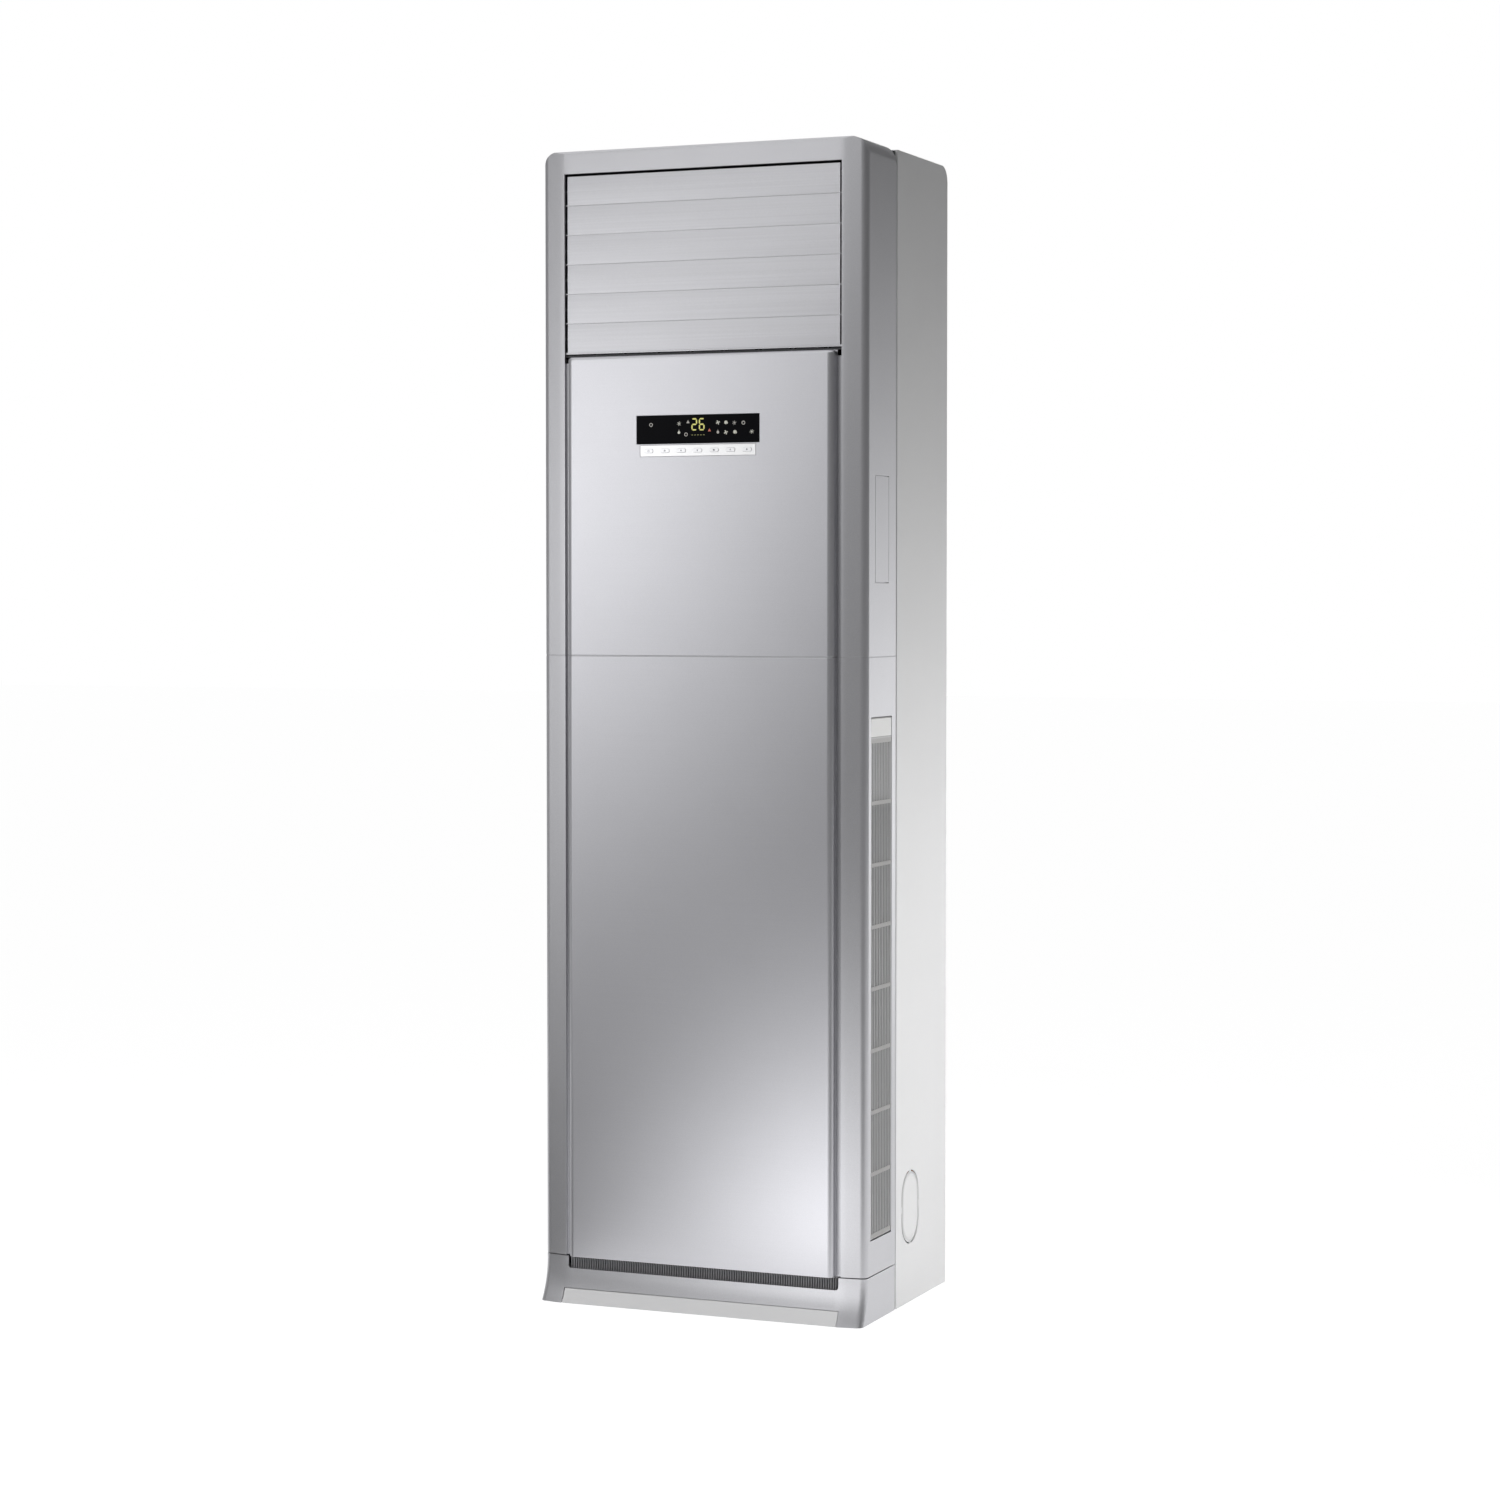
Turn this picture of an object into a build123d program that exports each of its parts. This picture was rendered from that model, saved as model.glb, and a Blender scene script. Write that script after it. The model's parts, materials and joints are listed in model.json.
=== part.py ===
from build123d import *
from math import cos, radians, sin
import os

os.makedirs("parts", exist_ok=True)

# A floor standing air conditioner, in millimetres: +Z up, the front faces -Y, +X to the right.
# The origin is on the floor, in the middle of the footprint.
# Depths named *_depth or *_setback are counted from the front plane of the silver frame.

# ---------------------------------------------------------------- overall sizes
height = 1775.0  # floor to the top of the frame
width = 534.0  # over the side walls
depth = 365.0  # front plane of the frame to the rearmost screw heads
toe_reach = 20.0  # how far the plinth flares out in front of the frame
wall = 2.8  # moulded front parts
sheet = 1.2  # folded sheet steel
fit_gap = 0.4  # between a moulded part and the edge that frames it
pin_clearance = 0.1  # radial, of every small pivot
mating_gap = 0.05  # radial, of the shaft in its bores

# ---------------------------------------------------------------- front frame
column_width = 39.0
column_slant = 6.0  # the outer edge of a column lies this much further back
column_corner = 12.0
column_crease = 120.0  # radius that blends the flat front into a slanted column
top_corner = 26.0
top_round = 6.0
border_height = 35.0
frame_depth = 129.0
split_gap = 5.5  # dark groove between the frame and the rear cabinet
tongue_depth = 18.0  # cabinet edge that reaches under the frame
plinth_height = 70.0
seam_height = 1002.0
seam_gap = 1.5
lip_depth = 6.0  # from the front plane back to the ledge that carries the panels
ledge_width = 25.0
rail_height = 28.0

# ---------------------------------------------------------------- front panels
panel_proud = 12.0
panel_groove = 8.5
panel_round = 10.0
panel_edge = 5.0
panel_reveal = 4.0  # dark gap between the upper panel and the air outlet
latch_hole = 9.0  # the upper panel hooks into the ledge in both top corners
slot_height = 18.5  # air slot between the plinth and the lower panel
slot_side = 3.5
slot_round = 5.0
arch_height = 22.0  # raised lower edge of the plinth
arch_gap = 1.0  # between the arch and the toe of the base pan that fills it

# ---------------------------------------------------------------- display and buttons
window_size = (202.0, 43.0)
window_drop = 113.5  # top of the upper panel to the middle of the display window
window_thickness = 2.5
window_ledge = 5.0
strip_size = (190.0, 17.0)
strip_thickness = 2.0
strip_drop = 2.0
button_count = 7
button_size = (15.0, 6.0)
strip_end = 14.0  # end of the strip to the first button's middle
button_stand = 0.8  # how far a button stands out of the strip
button_flange = 1.5
button_travel = 1.2
button_rest_gap = 1.0  # pressed stem to the board
board_thickness = 1.6
board_gap = 5.2  # panel wall to the board behind it
board_margin = 9.0
standoff_radius = 2.4

# ---------------------------------------------------------------- air outlet
outlet_height = 277.0
duct_wall = 3.0
duct_depth = 112.0
louver_count = 6
louver_inset = 3.5
louver_gap = 0.6
louver_recess = 3.5
louver_thickness = 3.0
louver_crown = 0.5
pivot_setback = 6.0  # back of a louver to its pivot
pivot_radius = 2.5
pivot_boss = 4.5
ear_thickness = 4.0
crank_length = 30.0
crank_angle = 35.0
crank_pin_radius = 2.0
link_thickness = 3.0
link_width = 8.0
link_side_gap = 0.3
link_offset = 45.0  # crank plane to the right wall of the duct
pin_reach = 1.5  # pins stand this far out of the duct wall
vane_count = 7
vane_depth = 82.0
vane_chord = 50.0
vane_thickness = 2.0
vane_lift = 9.0
vane_top_gap = 2.0
vane_crank = 18.0
motor_radius = 14.0
motor_height = 19.0
motor_offset = 8.0  # the small geared motors have their shaft off centre

# ---------------------------------------------------------------- side intakes
intake_front = 24.0
intake_length = 89.0
intake_low = 124.0
intake_high = 912.0
intake_rim = 8.0  # depth of the moulded rim round the opening
grille_gap = 1.0
grille_thickness = 5.0
grille_recess = 0.5
grille_frame = 3.5
grille_rows = 8
grille_columns = 12
grille_bar = 2.5
grille_cross_bar = 6.0
tab_height = 29.0
hinge_pin_radius = 1.6
hinge_pin_length = 2.4
round_margin = 0.01  # a full round stops short of half the thickness
filter_thickness = 4.0
filter_frame = 7.0
filter_mesh = 1.0

# ---------------------------------------------------------------- rear cabinet
cabinet_step = 6.0  # the cabinet is this much lower than the frame
cabinet_round = 25.0
flange = 18.0
rear_skirt = 20.0
pan_front_lip = 48.0
pan_side_lip = 30.0
pan_corner = 20.0
screw_head_radius = 4.0
screw_head_height = 2.0
screw_radius = 2.0
screw_length = 9.0
screw_rows = 4
knockout_width = 76.0
knockout_height = 114.0
knockout_centre = (198.0, 148.0)  # depth behind the front plane, height
knockout_slit = 2.0
knockout_bridge = 9.0
anchor_radius = 4.0
anchor_spacing = 300.0
anchor_drop = 125.0  # top of the frame down to the anchor holes
cover_size = (58.0, 161.0)
cover_centre = (69.6, 1193.5)  # depth behind the front plane, height
cover_flange = 7.0
cover_gap = 1.0
cover_flange_thickness = 2.0

# ---------------------------------------------------------------- fan
deck_height = 925.0
fan_height = 480.0
fan_offset = -20.0
volute_front = 140.0
volute_width = 170.0
volute_wall = 2.0
volute_side_room = 82.0  # side wall to the first arc of the spiral
volute_step = 20.0  # added to its radius at each quarter turn
volute_start = 60.0  # angle of the cut-off, in degrees
cut_off_gap = 20.0  # first arc to the wheel
wheel_gap = 8.0
blade_count = 32
blade_depth = 27.0
blade_sweep = 10.0
blade_thickness = 2.2
rim_width = 4.0
plate_thickness = 2.5
dish_radius = 78.0
dish_depth = 75.0
hub_radius = 14.0
hub_length = 25.0
shaft_radius = 6.0
nut_size = 20.0
nut_height = 6.0
motor_body_radius = 55.0
motor_body_length = 70.0
eye_inset = 35.0  # outside of the wheel to the inlet eye
bell_radius = 20.0
bell_wall = 2.0
bell_flange = 16.0

# ---------------------------------------------------------------- cooling circuit
coil_side_room = 42.0  # beside the coil, for its bends and the pipes
coil_thickness = 50.0  # measured level, front to back
coil_setback = 150.0  # how far the top lies behind the bottom
coil_height = 446.8
coil_front = 150.0
fin_pitch = 10.0
fin_slot = 6.0
fin_root = 14.0
bend_count = 6
bend_pitch = 25.0
bend_tube = 4.8
pan_lift = 25.0
pan_height = 35.0
pan_front = 139.0
pan_length = 76.0
pan_wall = 2.0
gas_tube = 8.0
liquid_tube = 4.8
gas_row = 2.5  # the pipes leave the coil between two of its return bends
liquid_row = 4.5
pipe_bend = 20.0
pipe_out = 27.0
union_size = 26.0
union_height = 22.0
pipe_end = 215.0
pipe_notch = 4.0
drain_radius = 10.0
drain_bore = 7.0
drain_side = 17.0
drain_end = 110.0
drain_depth = 180.0

# ---------------------------------------------------------------- inner walls and control box
bulkhead_thickness = 6.0
box_size = (260.0, 70.0, 210.0)
box_wall = 1.5
box_lid = 2.0
box_post = 6.0
relief_size = (130.0, 3.0)
relief_pitch = 24.0
relief_count = 5

# ---------------------------------------------------------------- planes and spans worked out
half_width = width / 2
y_face = (toe_reach - depth) / 2
y_frame_back = y_face + frame_depth
y_cabinet = y_frame_back + split_gap
y_sheet_back = y_face + depth - screw_head_height
y_ledge = y_face + lip_depth
y_panel = y_face - panel_proud
y_bulkhead = y_face + duct_depth
opening_half = half_width - column_width
inner_half = half_width - wall  # inside of the moulded side wall
tongue_half = inner_half - sheet  # inside of the tongue of the steel side panel
steel_half = half_width - sheet  # inside of the steel side panel
outlet_top = height - border_height
outlet_low = outlet_top - outlet_height
panel_top = outlet_low - panel_reveal
panel_half = opening_half - panel_groove
window_level = panel_top - window_drop
lower_bottom = plinth_height + seam_gap
lower_top = seam_height - seam_gap / 2
upper_bottom = seam_height + seam_gap / 2
cabinet_top = height - cabinet_step


def save(piece, label):
    piece.part.label = label
    export_step(piece.part, f"parts/{label}.step")


# A box between two values on each axis.
def block(x, y, z, mode=Mode.ADD):
    with Locations(((x[0] + x[1]) / 2, (y[0] + y[1]) / 2, (z[0] + z[1]) / 2)):
        Box(x[1] - x[0], y[1] - y[0], z[1] - z[0], mode=mode)


def span(half):
    return (-half, half)


# Outline of the front frame seen from above: slanted columns with rounded outer corners.
def frame_plan(level, inset=0.0, forward=0.0, back=y_frame_back):
    y_front = y_face - forward
    with BuildSketch(Plane.XY.offset(level)) as plan:
        with BuildLine():
            Polyline(
                (-half_width, back),
                (-half_width, y_front + column_slant),
                (-opening_half, y_front),
                (opening_half, y_front),
                (half_width, y_front + column_slant),
                (half_width, back),
                close=True,
            )
        make_face()
        corners = plan.vertices().group_by(Axis.Y)[1]
        fillet(corners, column_corner)
        fillet(plan.vertices().group_by(Axis.Y)[0], column_crease)
        if inset:
            offset(amount=-inset, kind=Kind.INTERSECTION)
    return plan.sketch


# ================================================================ front frame
# The hollow of the upper shell follows its rounded top corners.
with BuildPart() as upper_hollow:
    extrude(
        frame_plan(upper_bottom, inset=wall, back=y_frame_back + 2 * wall),
        amount=height - wall - upper_bottom,
    )
    with BuildSketch(Plane.XZ.offset(-y_face)) as hollow_front:
        with Locations((0, (height - wall) / 2)):
            Rectangle(2 * inner_half, height - wall)
        fillet(hollow_front.vertices().group_by(Axis.Y)[-1], top_corner - wall)
    extrude(amount=depth, both=True, mode=Mode.INTERSECT)

with BuildPart() as upper_front_shell:
    extrude(frame_plan(upper_bottom), amount=height - upper_bottom)
    with BuildSketch(Plane.XZ.offset(-y_face)) as shell_front:
        with Locations((0, height / 2)):
            Rectangle(width, height)
        fillet(shell_front.vertices().group_by(Axis.Y)[-1], top_corner)
    extrude(amount=depth, both=True, mode=Mode.INTERSECT)
    with BuildSketch(Plane.YZ) as shell_side:
        with Locations((y_face + frame_depth / 2, height / 2)):
            Rectangle(frame_depth, height)
        fillet(shell_side.vertices().group_by(Axis.Y)[-1], top_round)
    extrude(amount=width, both=True, mode=Mode.INTERSECT)
    add(upper_hollow.part, mode=Mode.SUBTRACT)
    # open front with an inward lip, and the ledge that carries the panel
    front_span = (y_face - 1, y_ledge)
    block(span(opening_half), front_span, (upper_bottom, outlet_top), Mode.SUBTRACT)
    for side in (-1, 1):
        lip = sorted((side * opening_half, side * (opening_half + wall)))
        block(lip, (y_face + wall / 2, y_ledge), (upper_bottom, outlet_top + wall))
    block(span(opening_half), (y_face + wall / 2, y_ledge), (outlet_top, outlet_top + wall))
    ledge_top = outlet_low - duct_wall
    block(span(opening_half + wall), (y_ledge, y_ledge + wall), (upper_bottom, ledge_top))
    block(
        span(opening_half - ledge_width),
        (y_ledge, y_ledge + wall),
        (upper_bottom + rail_height, ledge_top - rail_height),
        Mode.SUBTRACT,
    )
    for side in (-1, 1):
        latch_x = sorted((side * panel_half, side * opening_half))
        latch_z = (ledge_top - latch_hole, ledge_top)
        block(latch_x, (y_ledge, y_ledge + wall), latch_z, Mode.SUBTRACT)
    # hand-hold openings in both side walls
    block(
        span(width),
        (y_face + cover_centre[0] - cover_size[0] / 2, y_face + cover_centre[0] + cover_size[0] / 2),
        (cover_centre[1] - cover_size[1] / 2, cover_centre[1] + cover_size[1] / 2),
        Mode.SUBTRACT,
    )
save(upper_front_shell, "upper_front_shell")

y_intake = (y_face + intake_front, y_face + intake_front + intake_length)
z_intake = (intake_low, intake_high)
hinge_x = half_width - grille_recess - grille_thickness / 2
hinge_z = intake_low + grille_gap + grille_thickness / 2

with BuildPart() as lower_front_shell:
    extrude(frame_plan(lower_bottom), amount=lower_top - lower_bottom)
    extrude(
        frame_plan(lower_bottom, inset=wall, back=y_frame_back + 2 * wall),
        amount=lower_top - lower_bottom,
        mode=Mode.SUBTRACT,
    )
    block(span(opening_half), (y_face - 1, y_ledge), (lower_bottom, lower_top), Mode.SUBTRACT)
    for side in (-1, 1):
        lip = sorted((side * opening_half, side * (opening_half + wall)))
        block(lip, (y_face + wall / 2, y_ledge), (lower_bottom, lower_top))
        # moulded rim round the intake opening
        rim = sorted((side * (half_width - intake_rim), side * inner_half))
        block(
            rim,
            (y_intake[0] - wall, y_intake[1] + wall),
            (z_intake[0] - wall, z_intake[1] + wall),
        )
    block(span(opening_half + wall), (y_ledge, y_ledge + wall), (lower_bottom, lower_top))
    block(
        span(opening_half - ledge_width),
        (y_ledge, y_ledge + wall),
        (lower_bottom + rail_height, lower_top - rail_height),
        Mode.SUBTRACT,
    )
    block(span(width), y_intake, z_intake, Mode.SUBTRACT)
    # pivot holes of the intake grilles, bored through the rim
    hinge_bore = hinge_pin_radius + pin_clearance
    for side in (-1, 1):
        with Locations(
            Location((side * hinge_x, sum(y_intake) / 2, hinge_z), (90, 0, 0)),
        ):
            Cylinder(hinge_bore, intake_length + 2 * wall, mode=Mode.SUBTRACT)
save(lower_front_shell, "lower_front_shell")

# The plinth flares forward in a hollow curve, so its outline is lofted down to the floor.
flare_steps = 5
flare_power = 2.3


def flare(step):
    return toe_reach * (step / flare_steps) ** flare_power


def plinth_plans(inset, back):
    levels = [plinth_height * (1 - step / flare_steps) for step in range(flare_steps + 1)]
    return [
        frame_plan(level, inset=inset, forward=flare(step), back=back)
        for step, level in enumerate(levels)
    ]


with BuildPart() as plinth_core:
    loft(plinth_plans(wall, y_frame_back + 2 * wall))

with BuildPart() as base_plinth:
    loft(plinth_plans(0, y_frame_back))
    add(plinth_core.part, mode=Mode.SUBTRACT)
    front_reach = (y_face - 2 * toe_reach, y_face + 2 * column_slant)
    with BuildSketch(Plane.XZ.offset(-front_reach[0])) as air_slot:
        with Locations((0, plinth_height)):
            Rectangle(2 * (opening_half - slot_side), 2 * slot_height)
        fillet(air_slot.vertices().group_by(Axis.Y)[0], slot_round)
    extrude(amount=front_reach[0] - front_reach[1], mode=Mode.SUBTRACT)
    block(span(opening_half), front_reach, (0, arch_height), Mode.SUBTRACT)
save(base_plinth, "base_plinth")


# ================================================================ front panels
# Plan of a proud panel: a shallow channel with rounded front edges.
def panel_plan(level, inset=0.0, back=y_ledge):
    with BuildSketch(Plane.XY.offset(level)) as plan:
        with Locations((0, (y_panel + back) / 2)):
            Rectangle(2 * panel_half, back - y_panel)
        fillet(plan.vertices().group_by(Axis.Y)[0], panel_round)
        if inset:
            offset(amount=-inset)
    return plan.sketch


def panel_body(bottom, top, rounded_top):
    extrude(panel_plan(bottom), amount=top - bottom)
    if rounded_top:
        fillet(faces().sort_by(Axis.Z)[-1].edges().group_by(Axis.Y)[0], panel_edge)
    extrude(
        panel_plan(bottom + wall, inset=wall, back=y_ledge + 2 * wall),
        amount=top - bottom - 2 * wall,
        mode=Mode.SUBTRACT,
    )


with BuildPart() as lower_front_panel:
    panel_body(lower_bottom, lower_top, False)
save(lower_front_panel, "lower_front_panel")

z_window = (window_level - window_size[1] / 2, window_level + window_size[1] / 2)
z_strip = (z_window[0] - strip_drop - strip_size[1], z_window[0] - strip_drop)
strip_middle = sum(z_strip) / 2
button_pitch = (strip_size[0] - 2 * strip_end) / (button_count - 1)
window_back = y_panel + window_thickness
strip_back = y_panel + strip_thickness
wall_back = y_panel + wall

with BuildPart() as upper_front_panel:
    panel_body(upper_bottom, panel_top, True)
    # stepped pockets: the window and the strip lie in them, flush with the panel
    window_half = window_size[0] / 2
    strip_half = strip_size[0] / 2
    block(
        span(window_half + window_ledge),
        (wall_back, wall_back + wall),
        (z_strip[0] - window_ledge, z_window[1] + window_ledge),
    )
    block(span(window_half), (y_panel, window_back), z_window, Mode.SUBTRACT)
    block(span(strip_half), (y_panel, strip_back), z_strip, Mode.SUBTRACT)
    block(
        span(window_half - window_ledge),
        (y_panel, wall_back + wall),
        (z_window[0] + window_ledge, z_window[1] - window_ledge),
        Mode.SUBTRACT,
    )
    block(
        span(strip_half - window_ledge / 2),
        (y_panel, wall_back + wall),
        (z_strip[0] + window_ledge / 2, z_strip[1] - window_ledge / 2),
        Mode.SUBTRACT,
    )
save(upper_front_panel, "upper_front_panel")

with BuildPart() as display_window:
    with BuildSketch(Plane.XZ.offset(-y_panel)):
        with Locations((0, window_level)):
            Rectangle(window_size[0] - fit_gap, window_size[1] - fit_gap)
    extrude(amount=-window_thickness)
save(display_window, "display_window")

with BuildPart() as button_bezel:
    with BuildSketch(Plane.XZ.offset(-y_panel)):
        with Locations((0, strip_middle)):
            Rectangle(strip_size[0] - fit_gap, strip_size[1] - fit_gap)
            with GridLocations(button_pitch, 0, button_count, 1):
                SlotOverall(
                    button_size[0] + fit_gap, button_size[1] + fit_gap, mode=Mode.SUBTRACT
                )
    extrude(amount=-strip_thickness)
save(button_bezel, "button_bezel")

stem_reach = wall_back + board_gap - strip_back - button_flange
stem_radius = button_size[1] / 3
stem_length = stem_reach - button_travel - button_rest_gap
for index in range(button_count):
    button_x = (index - (button_count - 1) / 2) * button_pitch
    with BuildPart() as button:
        with BuildSketch(Plane.XZ.offset(-(y_panel - button_stand))):
            with Locations((button_x, strip_middle)):
                SlotOverall(*button_size)
        extrude(amount=-(button_stand + strip_thickness))
        with BuildSketch(Plane.XZ.offset(-strip_back)):
            with Locations((button_x, strip_middle)):
                SlotOverall(button_size[0] + 2 * button_flange, button_size[1] + 2 * button_flange)
        extrude(amount=-button_flange)
        with BuildSketch(Plane.XZ.offset(-(strip_back + button_flange))):
            with Locations((button_x, strip_middle)):
                Circle(stem_radius)
        extrude(amount=-stem_length)
    save(button, f"button_{index + 1}")

y_board = wall_back + board_gap
board_half = window_size[0] / 2 + board_margin
z_board = (z_strip[0] - board_margin, z_window[1] + board_margin)
with BuildPart() as display_board:
    block(span(board_half), (y_board, y_board + board_thickness), z_board)
    # digit block right behind the window
    block(
        span(window_half - window_ledge - fit_gap),
        (window_back, y_board),
        (z_window[0] + window_ledge + fit_gap, z_window[1] - window_ledge - fit_gap),
    )
    # standoffs to the ledge round the window
    with BuildSketch(Plane.XZ.offset(-(wall_back + wall))):
        with Locations((0, (z_strip[0] + z_window[1]) / 2)):
            with GridLocations(window_size[0], z_window[1] - z_strip[0], 2, 2):
                Circle(standoff_radius)
    extrude(amount=-(board_gap - wall))
save(display_board, "display_board")

# ================================================================ air outlet
pitch = (outlet_height - 2 * louver_inset + louver_gap) / louver_count
blade_height = pitch - louver_gap
blade_half = opening_half - louver_inset
y_blade = y_face + louver_recess
y_pivot = y_blade + louver_thickness + pivot_setback
y_vane = y_face + vane_depth
y_duct = (y_ledge, y_bulkhead)
duct_outer = opening_half + duct_wall
pivot_bore = pivot_radius + pin_clearance
vane_pitch = 2 * opening_half / (vane_count + 1)


def louver_z(index):
    return outlet_top - louver_inset - blade_height / 2 - index * pitch


def vane_x(index):
    return (index - (vane_count - 1) / 2) * vane_pitch


with BuildPart() as outlet_frame:
    block(span(duct_outer), y_duct, (outlet_low - duct_wall, outlet_top + duct_wall))
    block(span(opening_half), y_duct, (outlet_low, outlet_top), Mode.SUBTRACT)
    for index in range(louver_count):
        with Locations(Location((0, y_pivot, louver_z(index)), (0, 90, 0))):
            Cylinder(pivot_bore, 2 * duct_outer, mode=Mode.SUBTRACT)
    for index in range(vane_count):
        with Locations((vane_x(index), y_vane, (outlet_low + outlet_top) / 2)):
            Cylinder(pivot_bore, outlet_height + 2 * duct_wall, mode=Mode.SUBTRACT)
save(outlet_frame, "outlet_frame")

crank_y = crank_length * cos(radians(crank_angle))
crank_z = crank_length * sin(radians(crank_angle))
crank_x = opening_half - link_offset
link_x = crank_x - link_side_gap - link_thickness


# Ear between the blade and its pivot, in the plane x, as thick as the ears at the ends.
def louver_ear(x, z):
    with BuildSketch(Plane.YZ.offset(x)) as ear:
        with Locations((y_pivot, z)):
            Circle(pivot_boss)
        with Locations(((y_blade + louver_thickness + y_pivot) / 2, z)):
            Rectangle(pivot_setback + louver_crown, 2 * pivot_boss)
    extrude(ear.sketch, amount=ear_thickness)


for index in range(louver_count):
    z = louver_z(index)
    with BuildPart() as louver:
        # blade of even thickness, bowed forward
        with BuildSketch(Plane.YZ.offset(-blade_half)):
            with BuildLine():
                edge_y = y_blade + louver_crown
                low, high = z - blade_height / 2, z + blade_height / 2
                ThreePointArc((edge_y, low), (y_blade, z), (edge_y, high))
                Line((edge_y, high), (edge_y + louver_thickness, high))
                ThreePointArc(
                    (edge_y + louver_thickness, high),
                    (y_blade + louver_thickness, z),
                    (edge_y + louver_thickness, low),
                )
                Line((edge_y + louver_thickness, low), (edge_y, low))
            make_face()
        extrude(amount=2 * blade_half)
        louver_ear(-blade_half, z)
        louver_ear(blade_half - ear_thickness, z)
        louver_ear(crank_x, z)
        # crank that the link pulls
        with BuildSketch(Plane.YZ.offset(crank_x)):
            with Locations((y_pivot + crank_y / 2, z + crank_z / 2)):
                SlotCenterToCenter(crank_length, 2 * pivot_boss, rotation=crank_angle)
        extrude(amount=ear_thickness)
        with BuildSketch(Plane.YZ.offset(link_x)):
            with Locations((y_pivot + crank_y, z + crank_z)):
                Circle(crank_pin_radius)
        extrude(amount=crank_x - link_x)
        # pivot pins through the duct walls
        for side in (-1, 1):
            with BuildSketch(Plane.YZ.offset(side * blade_half)):
                with Locations((y_pivot, z)):
                    Circle(pivot_radius)
            extrude(amount=side * (duct_outer + pin_reach - blade_half))
    save(louver, f"louver_{index + 1}")

with BuildPart() as louver_link:
    middle = (louver_z(0) + louver_z(louver_count - 1)) / 2 + crank_z
    with BuildSketch(Plane.YZ.offset(link_x)):
        with Locations((y_pivot + crank_y, middle)):
            SlotCenterToCenter((louver_count - 1) * pitch, link_width, rotation=90)
        for index in range(louver_count):
            with Locations((y_pivot + crank_y, louver_z(index) + crank_z)):
                Circle(crank_pin_radius + pin_clearance, mode=Mode.SUBTRACT)
    extrude(amount=link_thickness)
save(louver_link, "louver_link")

with BuildPart() as louver_motor:
    with BuildSketch(Plane.YZ.offset(duct_outer)):
        with Locations((y_pivot + motor_offset, louver_z(0))):
            Circle(motor_radius)
        with Locations((y_pivot, louver_z(0))):
            Circle(pivot_bore, mode=Mode.SUBTRACT)
    extrude(amount=motor_height)
save(louver_motor, "louver_motor")

vane_low = outlet_low + vane_lift
link_low = outlet_low + (vane_lift - link_thickness) / 2
vane_pin_reach = duct_wall + pin_reach
for index in range(vane_count):
    with BuildPart() as vane:
        with BuildSketch(Plane.XY.offset(vane_low)):
            with Locations((vane_x(index), y_vane)):
                SlotOverall(vane_chord, vane_thickness, rotation=90)
                Circle(pivot_boss)
        extrude(amount=outlet_top - vane_top_gap - vane_low)
        with BuildSketch(Plane.XY.offset(outlet_low - vane_pin_reach)):
            with Locations((vane_x(index), y_vane)):
                Circle(pivot_radius)
        extrude(amount=outlet_height + 2 * vane_pin_reach)
        with BuildSketch(Plane.XY.offset(vane_low)):
            with Locations((vane_x(index), y_vane + vane_crank)):
                Circle(pivot_boss - crank_pin_radius / 2)
        extrude(amount=vane_lift)
        with BuildSketch(Plane.XY.offset(link_low)):
            with Locations((vane_x(index), y_vane + vane_crank)):
                Circle(crank_pin_radius)
        extrude(amount=vane_low - link_low)
    save(vane, f"vane_{index + 1}")

with BuildPart() as vane_link:
    with BuildSketch(Plane.XY.offset(link_low)):
        with Locations((0, y_vane + vane_crank)):
            SlotCenterToCenter((vane_count - 1) * vane_pitch, link_width)
            with GridLocations(vane_pitch, 0, vane_count, 1):
                Circle(crank_pin_radius + pin_clearance, mode=Mode.SUBTRACT)
    extrude(amount=link_thickness)
save(vane_link, "vane_link")

with BuildPart() as vane_motor:
    with BuildSketch(Plane.XY.offset(outlet_low - duct_wall)):
        with Locations((vane_x(vane_count // 2), y_vane - motor_offset)):
            Circle(motor_radius)
        with Locations((vane_x(vane_count // 2), y_vane)):
            Circle(pivot_bore, mode=Mode.SUBTRACT)
    extrude(amount=-motor_height)
save(vane_motor, "vane_motor")

# ================================================================ side intakes
y_grille = (y_intake[0] + grille_gap, y_intake[1] - grille_gap)
grille_x = (hinge_x - grille_thickness / 2, hinge_x + grille_thickness / 2)
grille_low = z_intake[0] + grille_gap
grille_high = z_intake[1] - grille_gap - tab_height
grille_span = y_grille[1] - y_grille[0]
cell_width = (grille_span - 2 * grille_frame + grille_bar) / grille_columns
cell_height = (grille_high - grille_low - 2 * grille_cross_bar) / grille_rows

with BuildPart() as right_intake_grille:
    block(grille_x, y_grille, (grille_low, grille_high))
    bottom_edges = faces().sort_by(Axis.Z)[0].edges().filter_by(Axis.Y)
    fillet(bottom_edges, grille_thickness / 2 - round_margin)
    with BuildSketch(Plane.YZ.offset(grille_x[0])):
        with Locations((sum(y_grille) / 2, (grille_low + grille_high) / 2)):
            with GridLocations(cell_width, cell_height, grille_columns, grille_rows):
                Rectangle(cell_width - grille_bar, cell_height - grille_cross_bar)
    extrude(amount=grille_thickness, mode=Mode.SUBTRACT)
    # pivot pins at both ends of the rounded foot
    for y, direction in ((y_grille[0], -1), (y_grille[1], 1)):
        with BuildSketch(Plane.XZ.offset(-y)):
            with Locations((hinge_x, hinge_z)):
                Circle(hinge_pin_radius)
        extrude(amount=-direction * (grille_gap + hinge_pin_length))
save(right_intake_grille, "right_intake_grille")

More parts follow.
